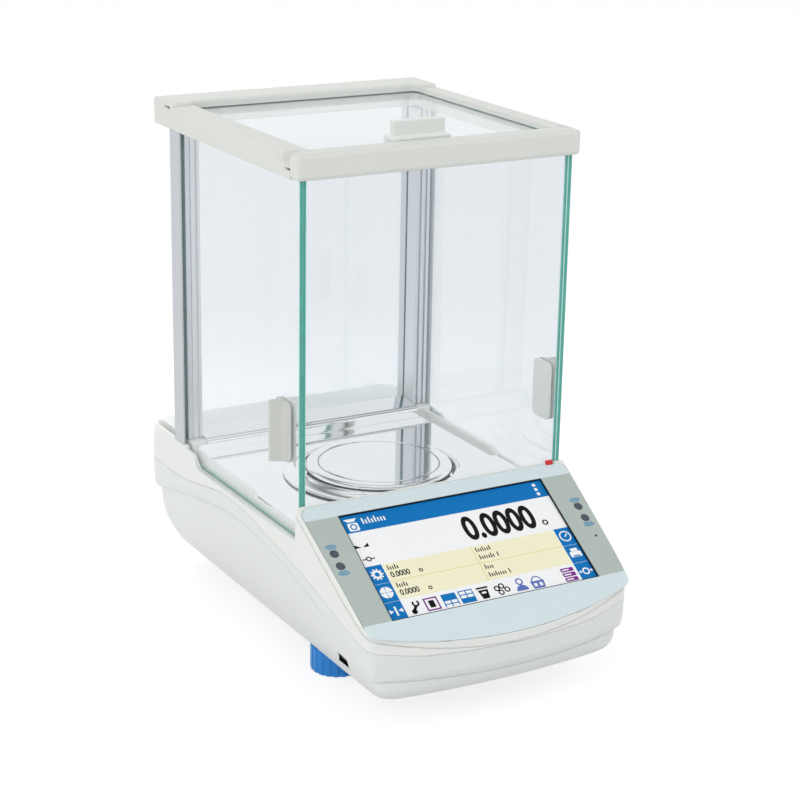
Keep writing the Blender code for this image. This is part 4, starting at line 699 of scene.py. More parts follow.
class BALANCE_OT_housing(bpy.types.Operator):
    """Lower and upper housing and the terminal's surround, in moulded plastic"""
    bl_idname = "balance.housing"
    bl_label = "Housing"

    def execute(self, context):
        looks, sizes = context.scene.balance_finishes, context.scene.balance_sizes
        upper = plastic("Moulded ABS, warm white", looks.upper_plastic)
        lower = plastic("Moulded ABS, pale grey", looks.lower_plastic)
        dressed("base_tray", "lower_housing", lower, sizes.housing_rounding)
        dressed("top_cover", "upper_housing", upper, sizes.housing_rounding)
        dressed("terminal_bezel", "terminal_surround", upper, 0.0)
        return {'FINISHED'}


class BALANCE_OT_top_frame(bpy.types.Operator):
    """Plastic frame round the sliding top pane, its notches filled nearly flush, and a thin black wedge in each
    notch's mouth as painted shade
    """
    bl_idname = "balance.top_frame"
    bl_label = "Top frame"

    def execute(self, context):
        looks, sizes = context.scene.balance_finishes, context.scene.balance_sizes
        ivory = plastic("Moulded ABS, ivory", looks.frame_plastic)
        for node in ("top_frame_front", "top_frame_rear", "top_rail_left", "top_rail_right"):
            finish_node(node, ivory)
        fillers, shade_wedges = bmesh.new(), bmesh.new()
        for side, sign in SIDES:
            low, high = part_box("top_rail_" + side)
            self.add_latch(fillers, shade_wedges, sign, (low.y, low.z + 5.4 * MM), 7 * MM, sizes.notch_height)
            low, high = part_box("top_frame_rear")
            self.add_latch(fillers, shade_wedges, sign, (low.y + 5 * MM, high.z - 4.6 * MM), 9 * MM, sizes.notch_height)
        self.add_ribs(fillers)
        add_piece("latch_bars", fillers, [ivory], "base")
        # Black sheets in the notch mouths paint the shade inside the notches
        dark = finish("Connector plastic, black", looks.black, gloss_plastic)
        add_piece("notch_shade_wedges", shade_wedges, [dark], "base")
        return {'FINISHED'}

    def add_latch(self, fillers, shade_wedges, sign, corner, long, tall):
        """A bar that fills one notch of the frame nearly flush, and in front of it a thin black tapered sheet that
        paints the shade of the notch's mouth.
        """
        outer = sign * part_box("top_frame_front")[1].x
        clear = 0.1 * MM
        y, z = corner
        xs = sorted((outer - sign * 1.5 * MM, outer - sign * 0.3 * MM))
        block(fillers, (xs[0], y + clear, z + clear), (xs[1], y + long - clear, z + tall - clear))
        face = outer - sign * 0.3 * MM
        points = [(face, y + clear, z + clear), (face, y + clear, z + tall - clear),
                  (face, y + long - clear, z + 0.7 * tall)]
        prism(shade_wedges, points, (sign * 0.15 * MM, 0, 0))


    def add_ribs(self, bm):
        """Three low finger ribs on the outer side of each rail's front end."""
        proud, thick, first, step = 0.3 * MM, 0.9 * MM, 9.5 * MM, 3.8 * MM
        for side, sign in SIDES:
            low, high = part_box("top_rail_" + side)
            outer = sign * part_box("top_frame_front")[1].x
            xs = sorted((outer - sign * proud, outer + sign * proud))
            for i in range(3):
                y = low.y + first + step * i
                block(bm, (xs[0], y, high.z - 7.3 * MM), (xs[1], y + thick, high.z - 1.7 * MM))


class BALANCE_OT_columns(bpy.types.Operator):
    """Anodised columns at the back and the guides behind the side doors"""
    bl_idname = "balance.columns"
    bl_label = "Columns"

    def execute(self, context):
        looks, sizes = context.scene.balance_finishes, context.scene.balance_sizes
        satin = finish("Anodised aluminium, satin", looks.aluminium, anodised_aluminium)
        matt = finish("Anodised aluminium, matt", looks.guide_grey, matt_aluminium)
        felt = finish("Brightened lining, pale", looks.lining_painted_light, wool_felt)
        for side, sign in SIDES:
            dressed("rear_column_" + side, "column_" + side, satin, sizes.metal_rounding)
            strip = dressed("door_guide_" + side, "guide_strip_" + side, matt, sizes.metal_rounding)
            # The inward faces get the pale lining, painted light in the channel's shade
            strip.data.materials.append(felt)
            for face in strip.data.polygons:
                if face.normal.x * sign < -LIT_LINING_FACE_X:
                    face.material_index = 1
        return {'FINISHED'}


class BALANCE_OT_panes(bpy.types.Operator):
    """Glass panes with clear faces, green edges and pale ground corners, pale partly from their frost and partly as a
    painted highlight
    """
    bl_idname = "balance.panes"
    bl_label = "Panes"

    def execute(self, context):
        looks, sizes = context.scene.balance_finishes, context.scene.balance_sizes
        materials = [finish("Float glass", looks.glass_tint, float_glass),
                     finish("Glass edge, polished", looks.glass_edge, ground_edge),
                     finish("Glass edge, ground arris", looks.arris_frost_and_highlight, ground_edge)]
        for node, name in (("front_glass", "front_pane"), ("rear_glass", "rear_pane"),
                           ("left_door_glass", "left_door_pane"), ("right_door_glass", "right_door_pane"),
                           ("top_door_glass", "top_door_pane")):
            self.add_pane(node, name, materials, sizes.arris)
        self.add_seals(finish("Silicone seal, clear green", looks.seal, gloss_plastic))
        return {'FINISHED'}

    def add_seals(self, material):
        """Soft lips on the front pane's upright edges, close to the side doors."""
        low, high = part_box("front_glass")
        clear = 0.2 * MM
        bm = bmesh.new()
        for side, sign in SIDES:
            door_low, door_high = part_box(side + "_door_glass")
            ends = sorted((sign * high.x, sign * (min(abs(door_low.x), abs(door_high.x)) - clear)))
            lip = block(bm, (ends[0], low.y + clear, low.z), (ends[1], high.y - clear, high.z))
            upright = {e for v in lip for e in v.link_edges if abs(e.verts[0].co.z - e.verts[1].co.z) > clear}
            bmesh.ops.bevel(bm, geom=list(upright), offset=clear, offset_type='OFFSET', affect='EDGES', segments=3,
                            profile=0.5, material=-1, clamp_overlap=True)
        add_piece("pane_seals", bm, [material], "base")

    def add_pane(self, node, name, materials, arris):
        low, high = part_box(node)
        thin = min(range(3), key=lambda axis: high[axis] - low[axis])
        bm = bmesh.new()
        block(bm, low, high)
        bm.normal_update()
        for face in bm.faces:
            face.material_index = 0 if abs(face.normal[thin]) > 0.5 else 1
        rim = [e for e in bm.edges if len({f.material_index for f in e.link_faces}) == 2]
        made = bmesh.ops.bevel(bm, geom=rim, offset=arris, offset_type='OFFSET', affect='EDGES', segments=1,
                               profile=0.5, material=-1, clamp_overlap=True)
        for face in made["faces"]:
            face.material_index = 2
        piece = add_piece(name, bm, materials, frame["nodes"][node]["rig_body"], FACET_ANGLE)
        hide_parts(node)


class BALANCE_OT_handles(bpy.types.Operator):
    """Finger grips of the side doors, their inner clamps and the grip on the top pane"""
    bl_idname = "balance.handles"
    bl_label = "Handles"

    def execute(self, context):
        looks, sizes = context.scene.balance_finishes, context.scene.balance_sizes
        # The grips' darker ivory is painted shade
        ivory = plastic("Moulded ABS, grip ivory", looks.grip_ivory_shaded)
        white = plastic("Moulded ABS, warm white", looks.upper_plastic)
        for side, sign in SIDES:
            dressed(side + "_door_handle", side + "_finger_grip", ivory, sizes.frame_rounding)
            dressed(side + "_door_clamp", side + "_grip_clamp", white, sizes.frame_rounding)
        dressed("top_door_handle", "top_finger_grip", white, 0.0)
        return {'FINISHED'}


class BALANCE_OT_panel(bpy.types.Operator):
    """Printed film round the screen, sensor windows with their marks, and the red pane stop"""
    bl_idname = "balance.panel"
    bl_label = "Panel"

    def execute(self, context):
        looks, sizes = context.scene.balance_finishes, context.scene.balance_sizes
        place, width, height = screen_face()

        def printed_film(tree, shader, base):
            """Polyester film printed from behind: ice blue, with grey-green bands beside the screen."""
            flat = add_node(tree, "ShaderNodeMapping", {"Vector": object_place(tree),
                                                        "Location": place.translation,
                                                        "Rotation": place.to_euler()}, vector_type='TEXTURE')
            parts = add_node(tree, "ShaderNodeSeparateXYZ", {"Vector": flat.outputs["Vector"]})
            rise = add_node(tree, "ShaderNodeMath", {0: parts.outputs["Y"]}, operation='ABSOLUTE')
            band = add_node(tree, "ShaderNodeMapRange", {"Value": rise.outputs[0], "From Min": height / 2 - 0.2 * MM,
                                                         "From Max": height / 2 + 0.4 * MM})
            mixed = add_node(tree, "ShaderNodeMix", {"Factor_Float": band.outputs["Result"],
                                                     "A_Color": (*looks.film_grey, 1.0),
                                                     "B_Color": (*base, 1.0)}, data_type='RGBA')
            tree.links.new(pick(mixed.outputs, "Result_Color"), shader.inputs["Base Color"])
            grain = add_node(tree, "ShaderNodeTexNoise", {"Vector": flat.outputs["Vector"], "Scale": per_mm(0.6)})
            roughness_from(tree, shader, grain.outputs["Fac"], 0.26, 0.36)
            bump_from(tree, shader, grain.outputs["Fac"], 0.01, 0.2)

        film = finish("Printed polyester film", looks.film_blue, printed_film)
        dressed("front_panel", "panel_film", film, 0.0)
        dark = finish("Infra-red window", looks.lens, gloss_plastic)
        for side, sign in SIDES:
            for row in ("upper", "lower"):
                node = "sensor_lens_%s_%s" % (side, row)
                dressed(node, "sensor_window_%s_%s" % (side, row), dark, 0.2 * MM)
        dressed("pane_stop", "red_stop", finish("Moulded plastic, red", looks.stop_red, gloss_plastic), 0.0)
        self.add_marks(looks, sizes, place)
        return {'FINISHED'}

    def add_marks(self, looks, sizes, place):
        """Three printed arcs beside each sensor window, and one small black disc that paints the shade of the
        sounder's hole.
        """
        bm = bmesh.new()
        thick = sizes.print_thickness
        top = film_height(place)
        for side, sign in SIDES:
            for row, turn in (("upper", 90), ("lower", -90)):
                low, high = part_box("sensor_lens_%s_%s" % (side, row))
                centre = place.inverted() @ ((low + high) / 2)
                for i in range(3):
                    inner = (4.0 + 1.25 * i) * MM
                    profile = [(inner, top), (inner + 0.8 * MM, top), (inner + 0.8 * MM, top + thick),
                               (inner, top + thick)]
                    swept(bm, profile, turn, 36, place @ Matrix.Translation((centre.x, centre.y, 0)))
        mark = finish("Screen print, blue", looks.film_mark, gloss_plastic)
        add_piece("sensor_marks", bm, [mark], "base")
        # A black disc on the film stands for the sounder's hole: painted shade
        bm = bmesh.new()
        dot = bmesh.ops.create_cone(bm, cap_ends=True, segments=24, radius1=0.9 * MM, radius2=0.8 * MM,
                                    depth=2 * thick)["verts"]
        middle = Matrix.Translation((centre.x, -11 * MM, top + thick))
        bmesh.ops.transform(bm, matrix=place @ middle, verts=dot)
        black = finish("Connector plastic, black", looks.black, gloss_plastic)
        add_piece("sounder_hole_shade", bm, [black], "base")


class Picture:
    """Thin flat shapes on the screen, kept by colour.

    Places are in millimetres from the screen's top left corner, to the right and down. Each layer lies on
    the one below it.
    """

    def __init__(self, place, width, height, thickness):
        self.place = place
        self.corner = (-width / 2 / MM, height / 2 / MM)
        self.thickness = thickness
        self.meshes = {}

    def mesh(self, ink):
        if ink not in self.meshes:
            self.meshes[ink] = bmesh.new()
        return self.meshes[ink]

    def spot(self, right, down, layer, turn=0.0):
        """Where a shape drawn about its own middle goes, turned anticlockwise in degrees."""
        x, y = self.corner[0] + right, self.corner[1] - down
        shift = Matrix.Translation((x * MM, y * MM, layer * self.thickness))
        return self.place @ shift @ Matrix.Rotation(math.radians(turn), 4, 'Z')

    def bar(self, ink, layer, right, down, width, height, turn=0.0, rounding=0.0):
        """A bar about its middle, with rounded corners where a radius is given."""
        bm = self.mesh(ink)
        half = Vector((width / 2 * MM, height / 2 * MM, 0.0))
        made = block(bm, -half, half + Vector((0, 0, self.thickness)))
        if rounding:
            upright = {e for v in made for e in v.link_edges if abs(e.verts[0].co.z - e.verts[1].co.z) > 1e-6}
            cut = bmesh.ops.bevel(bm, geom=list(upright), offset=rounding * MM, offset_type='OFFSET',
                                  affect='EDGES', segments=4, profile=0.5, material=-1, clamp_overlap=True)
            made = list({v for f in cut["faces"] for v in f.verts})
        bmesh.ops.transform(bm, matrix=self.spot(right, down, layer, turn), verts=made)

    def area(self, ink, layer, left, top, right, bottom):
        self.bar(ink, layer, (left + right) / 2, (top + bottom) / 2, right - left, bottom - top)

    def disc(self, ink, layer, right, down, radius):
        bm = self.mesh(ink)
        made = bmesh.ops.create_cone(bm, cap_ends=True, segments=36, radius1=radius * MM, radius2=radius * MM,
                                     depth=self.thickness)["verts"]
        bmesh.ops.translate(bm, vec=(0, 0, self.thickness / 2), verts=made)
        bmesh.ops.transform(bm, matrix=self.spot(right, down, layer), verts=made)

    def ring(self, ink, layer, right, down, outer, inner, middle=90.0, reach=180.0):
        """A ring, or the part of it that reaches so many degrees to each side of its middle."""
        profile = [(inner * MM, 0.0), (outer * MM, 0.0), (outer * MM, self.thickness), (inner * MM, self.thickness)]
        place = self.spot(right, down, layer)
        if reach >= 180.0:
            turned(self.mesh(ink), profile, place, 40)
        else:
            swept(self.mesh(ink), profile, middle, reach, place)

    def outline(self, ink, layer, right, down, points):
        """A flat shape through a few points about its middle, to the right and down."""
        bm = self.mesh(ink)
        made = prism(bm, [(x * MM, -y * MM, 0.0) for x, y in points], (0, 0, self.thickness))
        bmesh.ops.transform(bm, matrix=self.spot(right, down, layer), verts=made)

    def number(self, ink, layer, left, base, height, value, narrow=1.0, weight=0.0):
        """Plain digits standing on a base line: height in millimetres, narrowed and thickened by shares."""
        curve = bpy.data.curves.new(value, 'FONT')
        curve.body = value
        curve.extrude = 0.5
        curve.offset = weight
        sketch = bpy.data.objects.new(value, curve)
        bpy.context.scene.collection.objects.link(sketch)
        bpy.context.view_layer.update()
        drawn = bpy.data.meshes.new_from_object(sketch.evaluated_get(bpy.context.evaluated_depsgraph_get()))
        bpy.data.objects.remove(sketch)
        bpy.data.curves.remove(curve)
        low = Vector(map(min, zip(*(v.co for v in drawn.vertices))))
        high = Vector(map(max, zip(*(v.co for v in drawn.vertices))))
        size = height * MM / (high.y - low.y)
        stretch = Matrix.Diagonal((size * narrow, size, self.thickness, 1.0))
        drawn.transform(stretch @ Matrix.Translation((-low.x, -low.y, 0.5)))
        drawn.transform(self.spot(left, base, layer))
        bm = self.mesh(ink)
        bm.from_mesh(drawn)
        bmesh.ops.remove_doubles(bm, verts=bm.verts[:], dist=MERGE_DISTANCE)
        bpy.data.meshes.remove(drawn)

    def strokes(self, ink, layer, left, base, height, pattern):
        """A row of plain tall and short strokes in place of writing; a space in the pattern is a gap."""
        thick, step = 0.22 * height, 0.46 * height
        for mark in pattern:
            tall = height if mark == "|" else 0.66 * height
            if mark != " ":
                self.bar(ink, layer, left + thick / 2, base - tall / 2, thick, tall)
            left += step

    def add_pieces(self, inks):
        for ink, bm in self.meshes.items():
            material = finish("Lit display, " + ink.replace("_", " "), inks[ink], lit_display)
            add_piece("screen_" + ink, bm, [material], "base")


class BALANCE_OT_screen(bpy.types.Operator):
    """Lit touch screen: header, big digits, data fields, buttons and plain symbols"""
    bl_idname = "balance.screen"
    bl_label = "Screen"

    def execute(self, context):
        looks, sizes = context.scene.balance_finishes, context.scene.balance_sizes
        finish_node("display_module", finish("Display glass, black", looks.black, gloss_plastic))
        place, width, height = screen_face()
        picture = Picture(place, width, height, sizes.print_thickness)
        margin = sizes.screen_margin / MM
        right, bottom = width / MM - margin, height / MM - margin
        picture.area("page", 0, margin, margin, right, bottom)
        self.draw_header(picture, margin, right)
        self.draw_reading(picture)
        self.draw_fields(picture, margin, right)
        self.draw_buttons(picture, margin, right, bottom)
        self.draw_bottom_row(picture)
        picture.add_pieces({"page": looks.page_white, "blue": looks.header_blue, "white": looks.page_white,
                            "field": looks.field_yellow, "field_line": looks.field_line, "ink": looks.ink,
                            "purple": looks.purple, "slate": looks.slate})
        self.add_liner(looks, sizes, place, width, height)
        return {'FINISHED'}

    def draw_header(self, picture, left, right):
        picture.area("blue", 1, left, left, right, 14)
        picture.outline("white", 2, 7, 4.4, ((-4.6, -1.4), (4.6, -1.4), (2.4, 1.0), (-2.4, 1.0)))
        picture.bar("white", 2, 7.2, 9.6, 7.4, 6.4, rounding=1.0)
        picture.ring("blue", 3, 7.2, 9.6, 2.4, 1.5)
        picture.strokes("white", 2, 14.6, 8.6, 4.8, "|.|.|...")
        for down in (3.4, 7.2, 11.0):
            picture.bar("white", 2, 146.4, down, 2.3, 2.3)

    def draw_reading(self, picture):
        picture.number("ink", 2, 79.8, 37.2, 19.6, "0.0000", 0.765, 0.03)
        picture.ring("ink", 2, 139.2, 34.2, 2.2, 1.2)
        picture.outline("ink", 2, 3.2, 25, ((-2.6, -1.8), (2.2, 1.2), (-2.6, 1.2)))
        picture.outline("ink", 2, 8.6, 25, ((2.2, -1.8), (2.2, 1.2), (-2.0, 1.2)))
        picture.ring("ink", 2, 6.2, 35.6, 1.9, 1.1)
        for right in (3.0, 9.4):
            picture.bar("ink", 2, right, 35.6, 2.4, 0.8)

    def draw_fields(self, picture, left, right):
        picture.area("field", 1, 12.8, 41.6, 141.2, 69.6)
        picture.area("field_line", 2, 12.8, 55.1, 141.2, 55.6)
        picture.area("field_line", 2, 77.4, 41.6, 77.9, 69.6)
        for label, value in ((46.6, 52.6), (60.6, 66.8)):
            picture.strokes("ink", 2, 15.2, label, 3.6, "|..|.")
            picture.number("ink", 2, 15.0, value, 4.4, "0.0000", 0.85, 0.02)
            picture.ring("ink", 2, 36.4, value - 1.4, 1.4, 0.7)
        for base, pattern in ((46.6, "|..|..|"), (52.6, "|....|. |"), (60.6, "|..."), (66.8, "|..|.... |")):
            picture.strokes("ink", 2, 80.0, base, 3.6, pattern)

    def draw_buttons(self, picture, left, right, bottom):
        for low, high in ((left, 12.2), (141.6, right)):
            for top in (41.2, 55.7, 70.2):
                picture.area("blue", 1, low, top, high, min(top + 14.3, bottom))
        self.draw_gear(picture, 6.3, 48.2)
        for middle in (45, 135, 225, 315):
            picture.ring("white", 2, 6.3, 62.6, 4.4, 0.4, middle, 40)
        picture.bar("white", 2, 6.3, 77.2, 1.3, 7.0)
        picture.outline("white", 2, 3.2, 77.2, ((-1.6, -1.6), (1.4, 0.0), (-1.6, 1.6)))
        picture.outline("white", 2, 9.4, 77.2, ((1.6, -1.6), (1.6, 1.6), (-1.4, 0.0)))
        picture.ring("white", 2, 147.4, 48.0, 4.3, 3.4)
        picture.bar("white", 2, 148.1, 47.4, 0.8, 3.0, -45)
        picture.bar("white", 2, 147.6, 63.2, 8.4, 4.4, rounding=0.8)
        picture.bar("white", 2, 147.6, 59.6, 5.2, 2.4)
        picture.bar("blue", 3, 147.6, 64.6, 5.0, 1.0)
        picture.ring("white", 2, 147.6, 77.4, 2.7, 1.7)
        for right in (143.4, 151.8):
            picture.disc("white", 2, right, 77.4, 0.9)

    def draw_gear(self, picture, right, down):
        picture.ring("white", 2, right, down, 3.3, 1.7)
        for i in range(10):
            angle = 36.0 * i
            reach = 3.6
            x, y = reach * math.cos(math.radians(angle)), reach * math.sin(math.radians(angle))
            picture.bar("white", 2, right + x, down - y, 1.6, 1.1, angle)

    def draw_bottom_row(self, picture):
        middle = 77.4
        picture.bar("ink", 2, 19.0, 78.6, 1.9, 6.6, -38)
        picture.ring("ink", 2, 21.2, 74.6, 2.6, 1.3, 270, 140)
        picture.disc("ink", 2, 18.0, 80.4, 1.9)
        for turn in (0, 90, 180, 270):
            x, y = 4.4 * math.cos(math.radians(turn)), 4.4 * math.sin(math.radians(turn))
            picture.bar("purple", 2, 31.8 + x, middle - y, 1.0, 9.6, turn)
        picture.bar("ink", 2, 31.8, middle, 4.0, 5.4, rounding=0.4)
        for i, right in enumerate((45.0, 57.4)):
            picture.bar("blue", 2, right, middle, 10.4, 9.8, rounding=0.6)
            for row in (0, 1):
                for column in (-1, 1):
                    down = middle + (1.4 if i == 0 else -3.0) + 2.9 * row
                    picture.bar("white", 3, right + 2.45 * column, down, 4.0, 2.1)
        picture.bar("ink", 2, 69.8, 73.6, 8.4, 1.3)
        picture.outline("ink", 2, 69.8, 78.6, ((-3.6, -3.4), (3.6, -3.4), (2.4, 3.4), (-2.4, 3.4)))
        picture.bar("white", 3, 69.8, 77.4, 3.2, 1.4)
        for right, down in ((79.8, 76.4), (83.6, 75.2), (86.6, 78.4), (81.6, 79.8)):
            picture.ring("ink", 2, right, down, 2.1, 1.2)
        picture.ring("slate", 2, 97.2, 74.8, 2.7, 1.7)
        picture.ring("slate", 2, 97.2, 81.9, 4.4, 0.3, 90, 88)
        picture.outline("slate", 2, 109.6, middle, ((-5.0, -0.6), (5.0, -0.6), (4.2, 5.2), (-4.2, 5.2)))
        picture.ring("slate", 2, 109.6, 77.0, 3.9, 3.1, 90, 88)
        for right in (107.6, 111.6):
            picture.bar("white", 3, right, 79.8, 2.2, 2.6)
        for i in range(3):
            picture.bar("purple", 2, 134.6, 73.6 + 3.8 * i, 9.6, 3.0, rounding=0.5)
            picture.bar("white", 3, 133.4, 73.6 + 3.8 * i, 5.2, 0.9)

    def add_liner(self, looks, sizes, place, width, height):
        """Black liner that closes the step from the film down to the screen."""
        bm = bmesh.new()
        high = film_height(place) - sizes.print_thickness
        wall = sizes.liner
        for x, y, half_x, half_y in ((0, 1, width / 2, wall / 2), (0, -1, width / 2, wall / 2),
                                     (1, 0, wall / 2, height / 2 - wall), (-1, 0, wall / 2, height / 2 - wall)):
            centre = Vector((x * (width / 2 - wall / 2), y * (height / 2 - wall / 2), 0.0))
            half = Vector((half_x, half_y, 0.0))
            block(bm, centre - half, centre + half + Vector((0, 0, high)), place)
        liner = finish("Connector plastic, black", looks.black, gloss_plastic)
        add_piece("screen_liner", bm, [liner], "base")


class BALANCE_OT_chamber(bpy.types.Operator):
    """Polished floor sheet, pan and draft ring"""
    bl_idname = "balance.chamber"
    bl_label = "Chamber"

    def execute(self, context):
        looks, sizes = context.scene.balance_finishes, context.scene.balance_sizes
        mirror = finish("Stainless steel, mirror polished", looks.polished_steel, mirror_steel)
        plain = finish("Turned steel", looks.plain_steel, plain_metal)
        dressed("chamber_floor_plate", "floor_sheet", mirror, sizes.metal_rounding, bm=self.folded_sheet())
        # The dark steel paints shade on the walls and undersides of the pan and ring and in the pan's groove
        shade_steel = finish("Stainless steel, painted_shade", looks.steel_painted_shade, plain_metal)
        self.add_turned("weighing_pan", "pan_dish", self.pan_profile(sizes), [mirror, shade_steel], sizes.pan_groove)
        self.add_turned("draft_ring", "ring_dish", self.ring_profile(sizes), [mirror, shade_steel])
        dressed("pan_spindle", "pan_pin", plain, 0.0)
        return {'FINISHED'}

    def folded_sheet(self):
        """The floor plate with the wide bend at the foot of its upstand pressed to a crisp fold."""
        bm = merged_copy("chamber_floor_plate")
        floor = max((face for face in bm.faces if face.normal.z > 1 - LEAST_POLISHED_Z),
                    key=lambda face: face.calc_area())
        stand = max((face for face in bm.faces if face.normal.y < LEAST_POLISHED_Z - 1),
                    key=lambda face: face.calc_area())
        front = stand.verts[0].co.y
        foot = min(v.co.z for v in stand.verts)
        inner = foot - floor.verts[0].co.z
        self.press_fold(bm, Vector((front - inner, foot)), Vector((front, foot - inner)))
        return bm

    def press_fold(self, bm, centre, corner):
        """Draws the points inside a bend that runs along x, about a centre in y and z, in to its corner."""
        radius = abs(corner.x - centre.x)
        for vert in bm.verts:
            place = vert.co.yz
            depths = [abs(place[i] - centre[i]) / radius for i in (0, 1)]
            on_arc = abs((place - centre).length - radius) < 0.02 * radius
            nearer = (place - corner).length < radius
            if on_arc and nearer and min(depths) > 0.05:
                vert.co.yz = corner.lerp(place, FOLD_SHARE)

    def add_turned(self, node, name, profile, materials, groove=0.0):
        """A finely turned piece in place of a round solid, mirror-polished on top; its walls, undersides and the
        groove's bottom get the dark steel as painted shade.
        """
        low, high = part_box(node)
        axis = ((low + high) / 2).to_2d()
        bm = bmesh.new()
        turned(bm, profile, Matrix.Translation((axis.x, axis.y, 0)), 160)
        bm.normal_update()
        for face in bm.faces:
            # Faces that look up get mirror steel; walls, undersides and the groove's bottom get the dark steel as
            # painted shade
            off_groove = abs((face.calc_center_median().to_2d() - axis).length - groove)
            polished = face.normal.z > LEAST_POLISHED_Z and off_groove > SHADED_GROOVE_REACH
            face.material_index = 0 if polished else 1
        piece = add_piece(name, bm, materials, frame["nodes"][node]["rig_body"])
        flatten_shading(piece)
        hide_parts(node)

    def pan_profile(self, sizes):
        """Flat top with a coined ring, a rolled rim, and a hollow underside round the hub."""
        low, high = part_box("weighing_pan")
        radius, top, sheet = (high.x - low.x) / 2, high.z, sizes.pan_sheet
        groove, depth, reach = sizes.pan_groove, sizes.groove_depth, sizes.groove_reach
        bowl = (reach ** 2 + depth ** 2) / (2 * depth)
        swing = math.degrees(math.asin(reach / bowl))
        half = sizes.pan_rim / 2
        hub = min_radius("weighing_pan", low.z)
        profile = [(0.0, top)] + arc((groove, top - depth + bowl), bowl, 270 - swing, 270 + swing, 8)
        profile += arc((radius - half, top - half), half, 90, -90, 18)
        profile += [(radius - 1.4 * half, top - 1.6 * half), (radius - 2.6 * half, top - sheet),
                    (hub + 4 * MM, top - sheet - 0.4 * MM), (hub + 3 * MM, low.z), (hub, low.z),
                    (hub, top - sheet - 1 * MM), (0.0, top - sheet - 1 * MM)]
        return profile

    def ring_profile(self, sizes):
        """A wall beside the pan, rolled over at its top and sweeping down to a rounded outer edge."""
        low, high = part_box("draft_ring")
        outer, base, top = (high.x - low.x) / 2, low.z, high.z
        inner = min_radius("draft_ring", low.z)
        lip = base + sizes.ring_lip
        roll, edge, sheet = 1.2 * MM, 1.1 * MM, 1.0 * MM
        profile = arc((inner + roll, top - roll), roll, 180, 40, 10)
        start, end = Vector(profile[-1]), Vector((outer - 2 * edge, lip))
        bend = Vector((inner + 4.2 * MM, lip + 0.5 * MM))
        for i in range(1, 10):
            share = i / 9
            profile.append(tuple(start.lerp(bend, share).lerp(bend.lerp(end, share), share)))
        profile += arc((outer - edge, lip - edge), edge, 80, 0, 7)
        profile += [(outer, base), (outer - sheet, base), (outer - 2 * sheet, lip - sheet),
                    (inner + 4.2 * MM, lip - 0.6 * sheet), (inner + sheet, top - 2.6 * MM),
                    (inner + sheet, base), (inner, base)]
        return profile


class BALANCE_OT_feet(bpy.types.Operator):
    """Blue levelling wheels on their studs, and rubber feet at the back"""
    bl_idname = "balance.feet"
    bl_label = "Feet"

    def execute(self, context):
        looks, sizes = context.scene.balance_finishes, context.scene.balance_sizes
        blue = finish("Moulded polypropylene, blue", looks.foot_blue, gloss_plastic)
        plain = finish("Turned steel", looks.plain_steel, plain_metal)
        brass = finish("Turned brass", looks.brass, plain_metal)
        rubber = finish("Moulded rubber", looks.rubber, moulded_rubber)
        for side, sign in SIDES:
            dressed("leveling_wheel_" + side, "foot_wheel_" + side, blue, 0.3 * MM)
            dressed("leveling_stud_" + side, "foot_stud_" + side, plain, 0.0)
            dressed("foot_insert_" + side, "threaded_insert_" + side, brass, 0.0)
            dressed("rear_foot_" + side, "rubber_foot_" + side, rubber, 0.0)
        return {'FINISHED'}


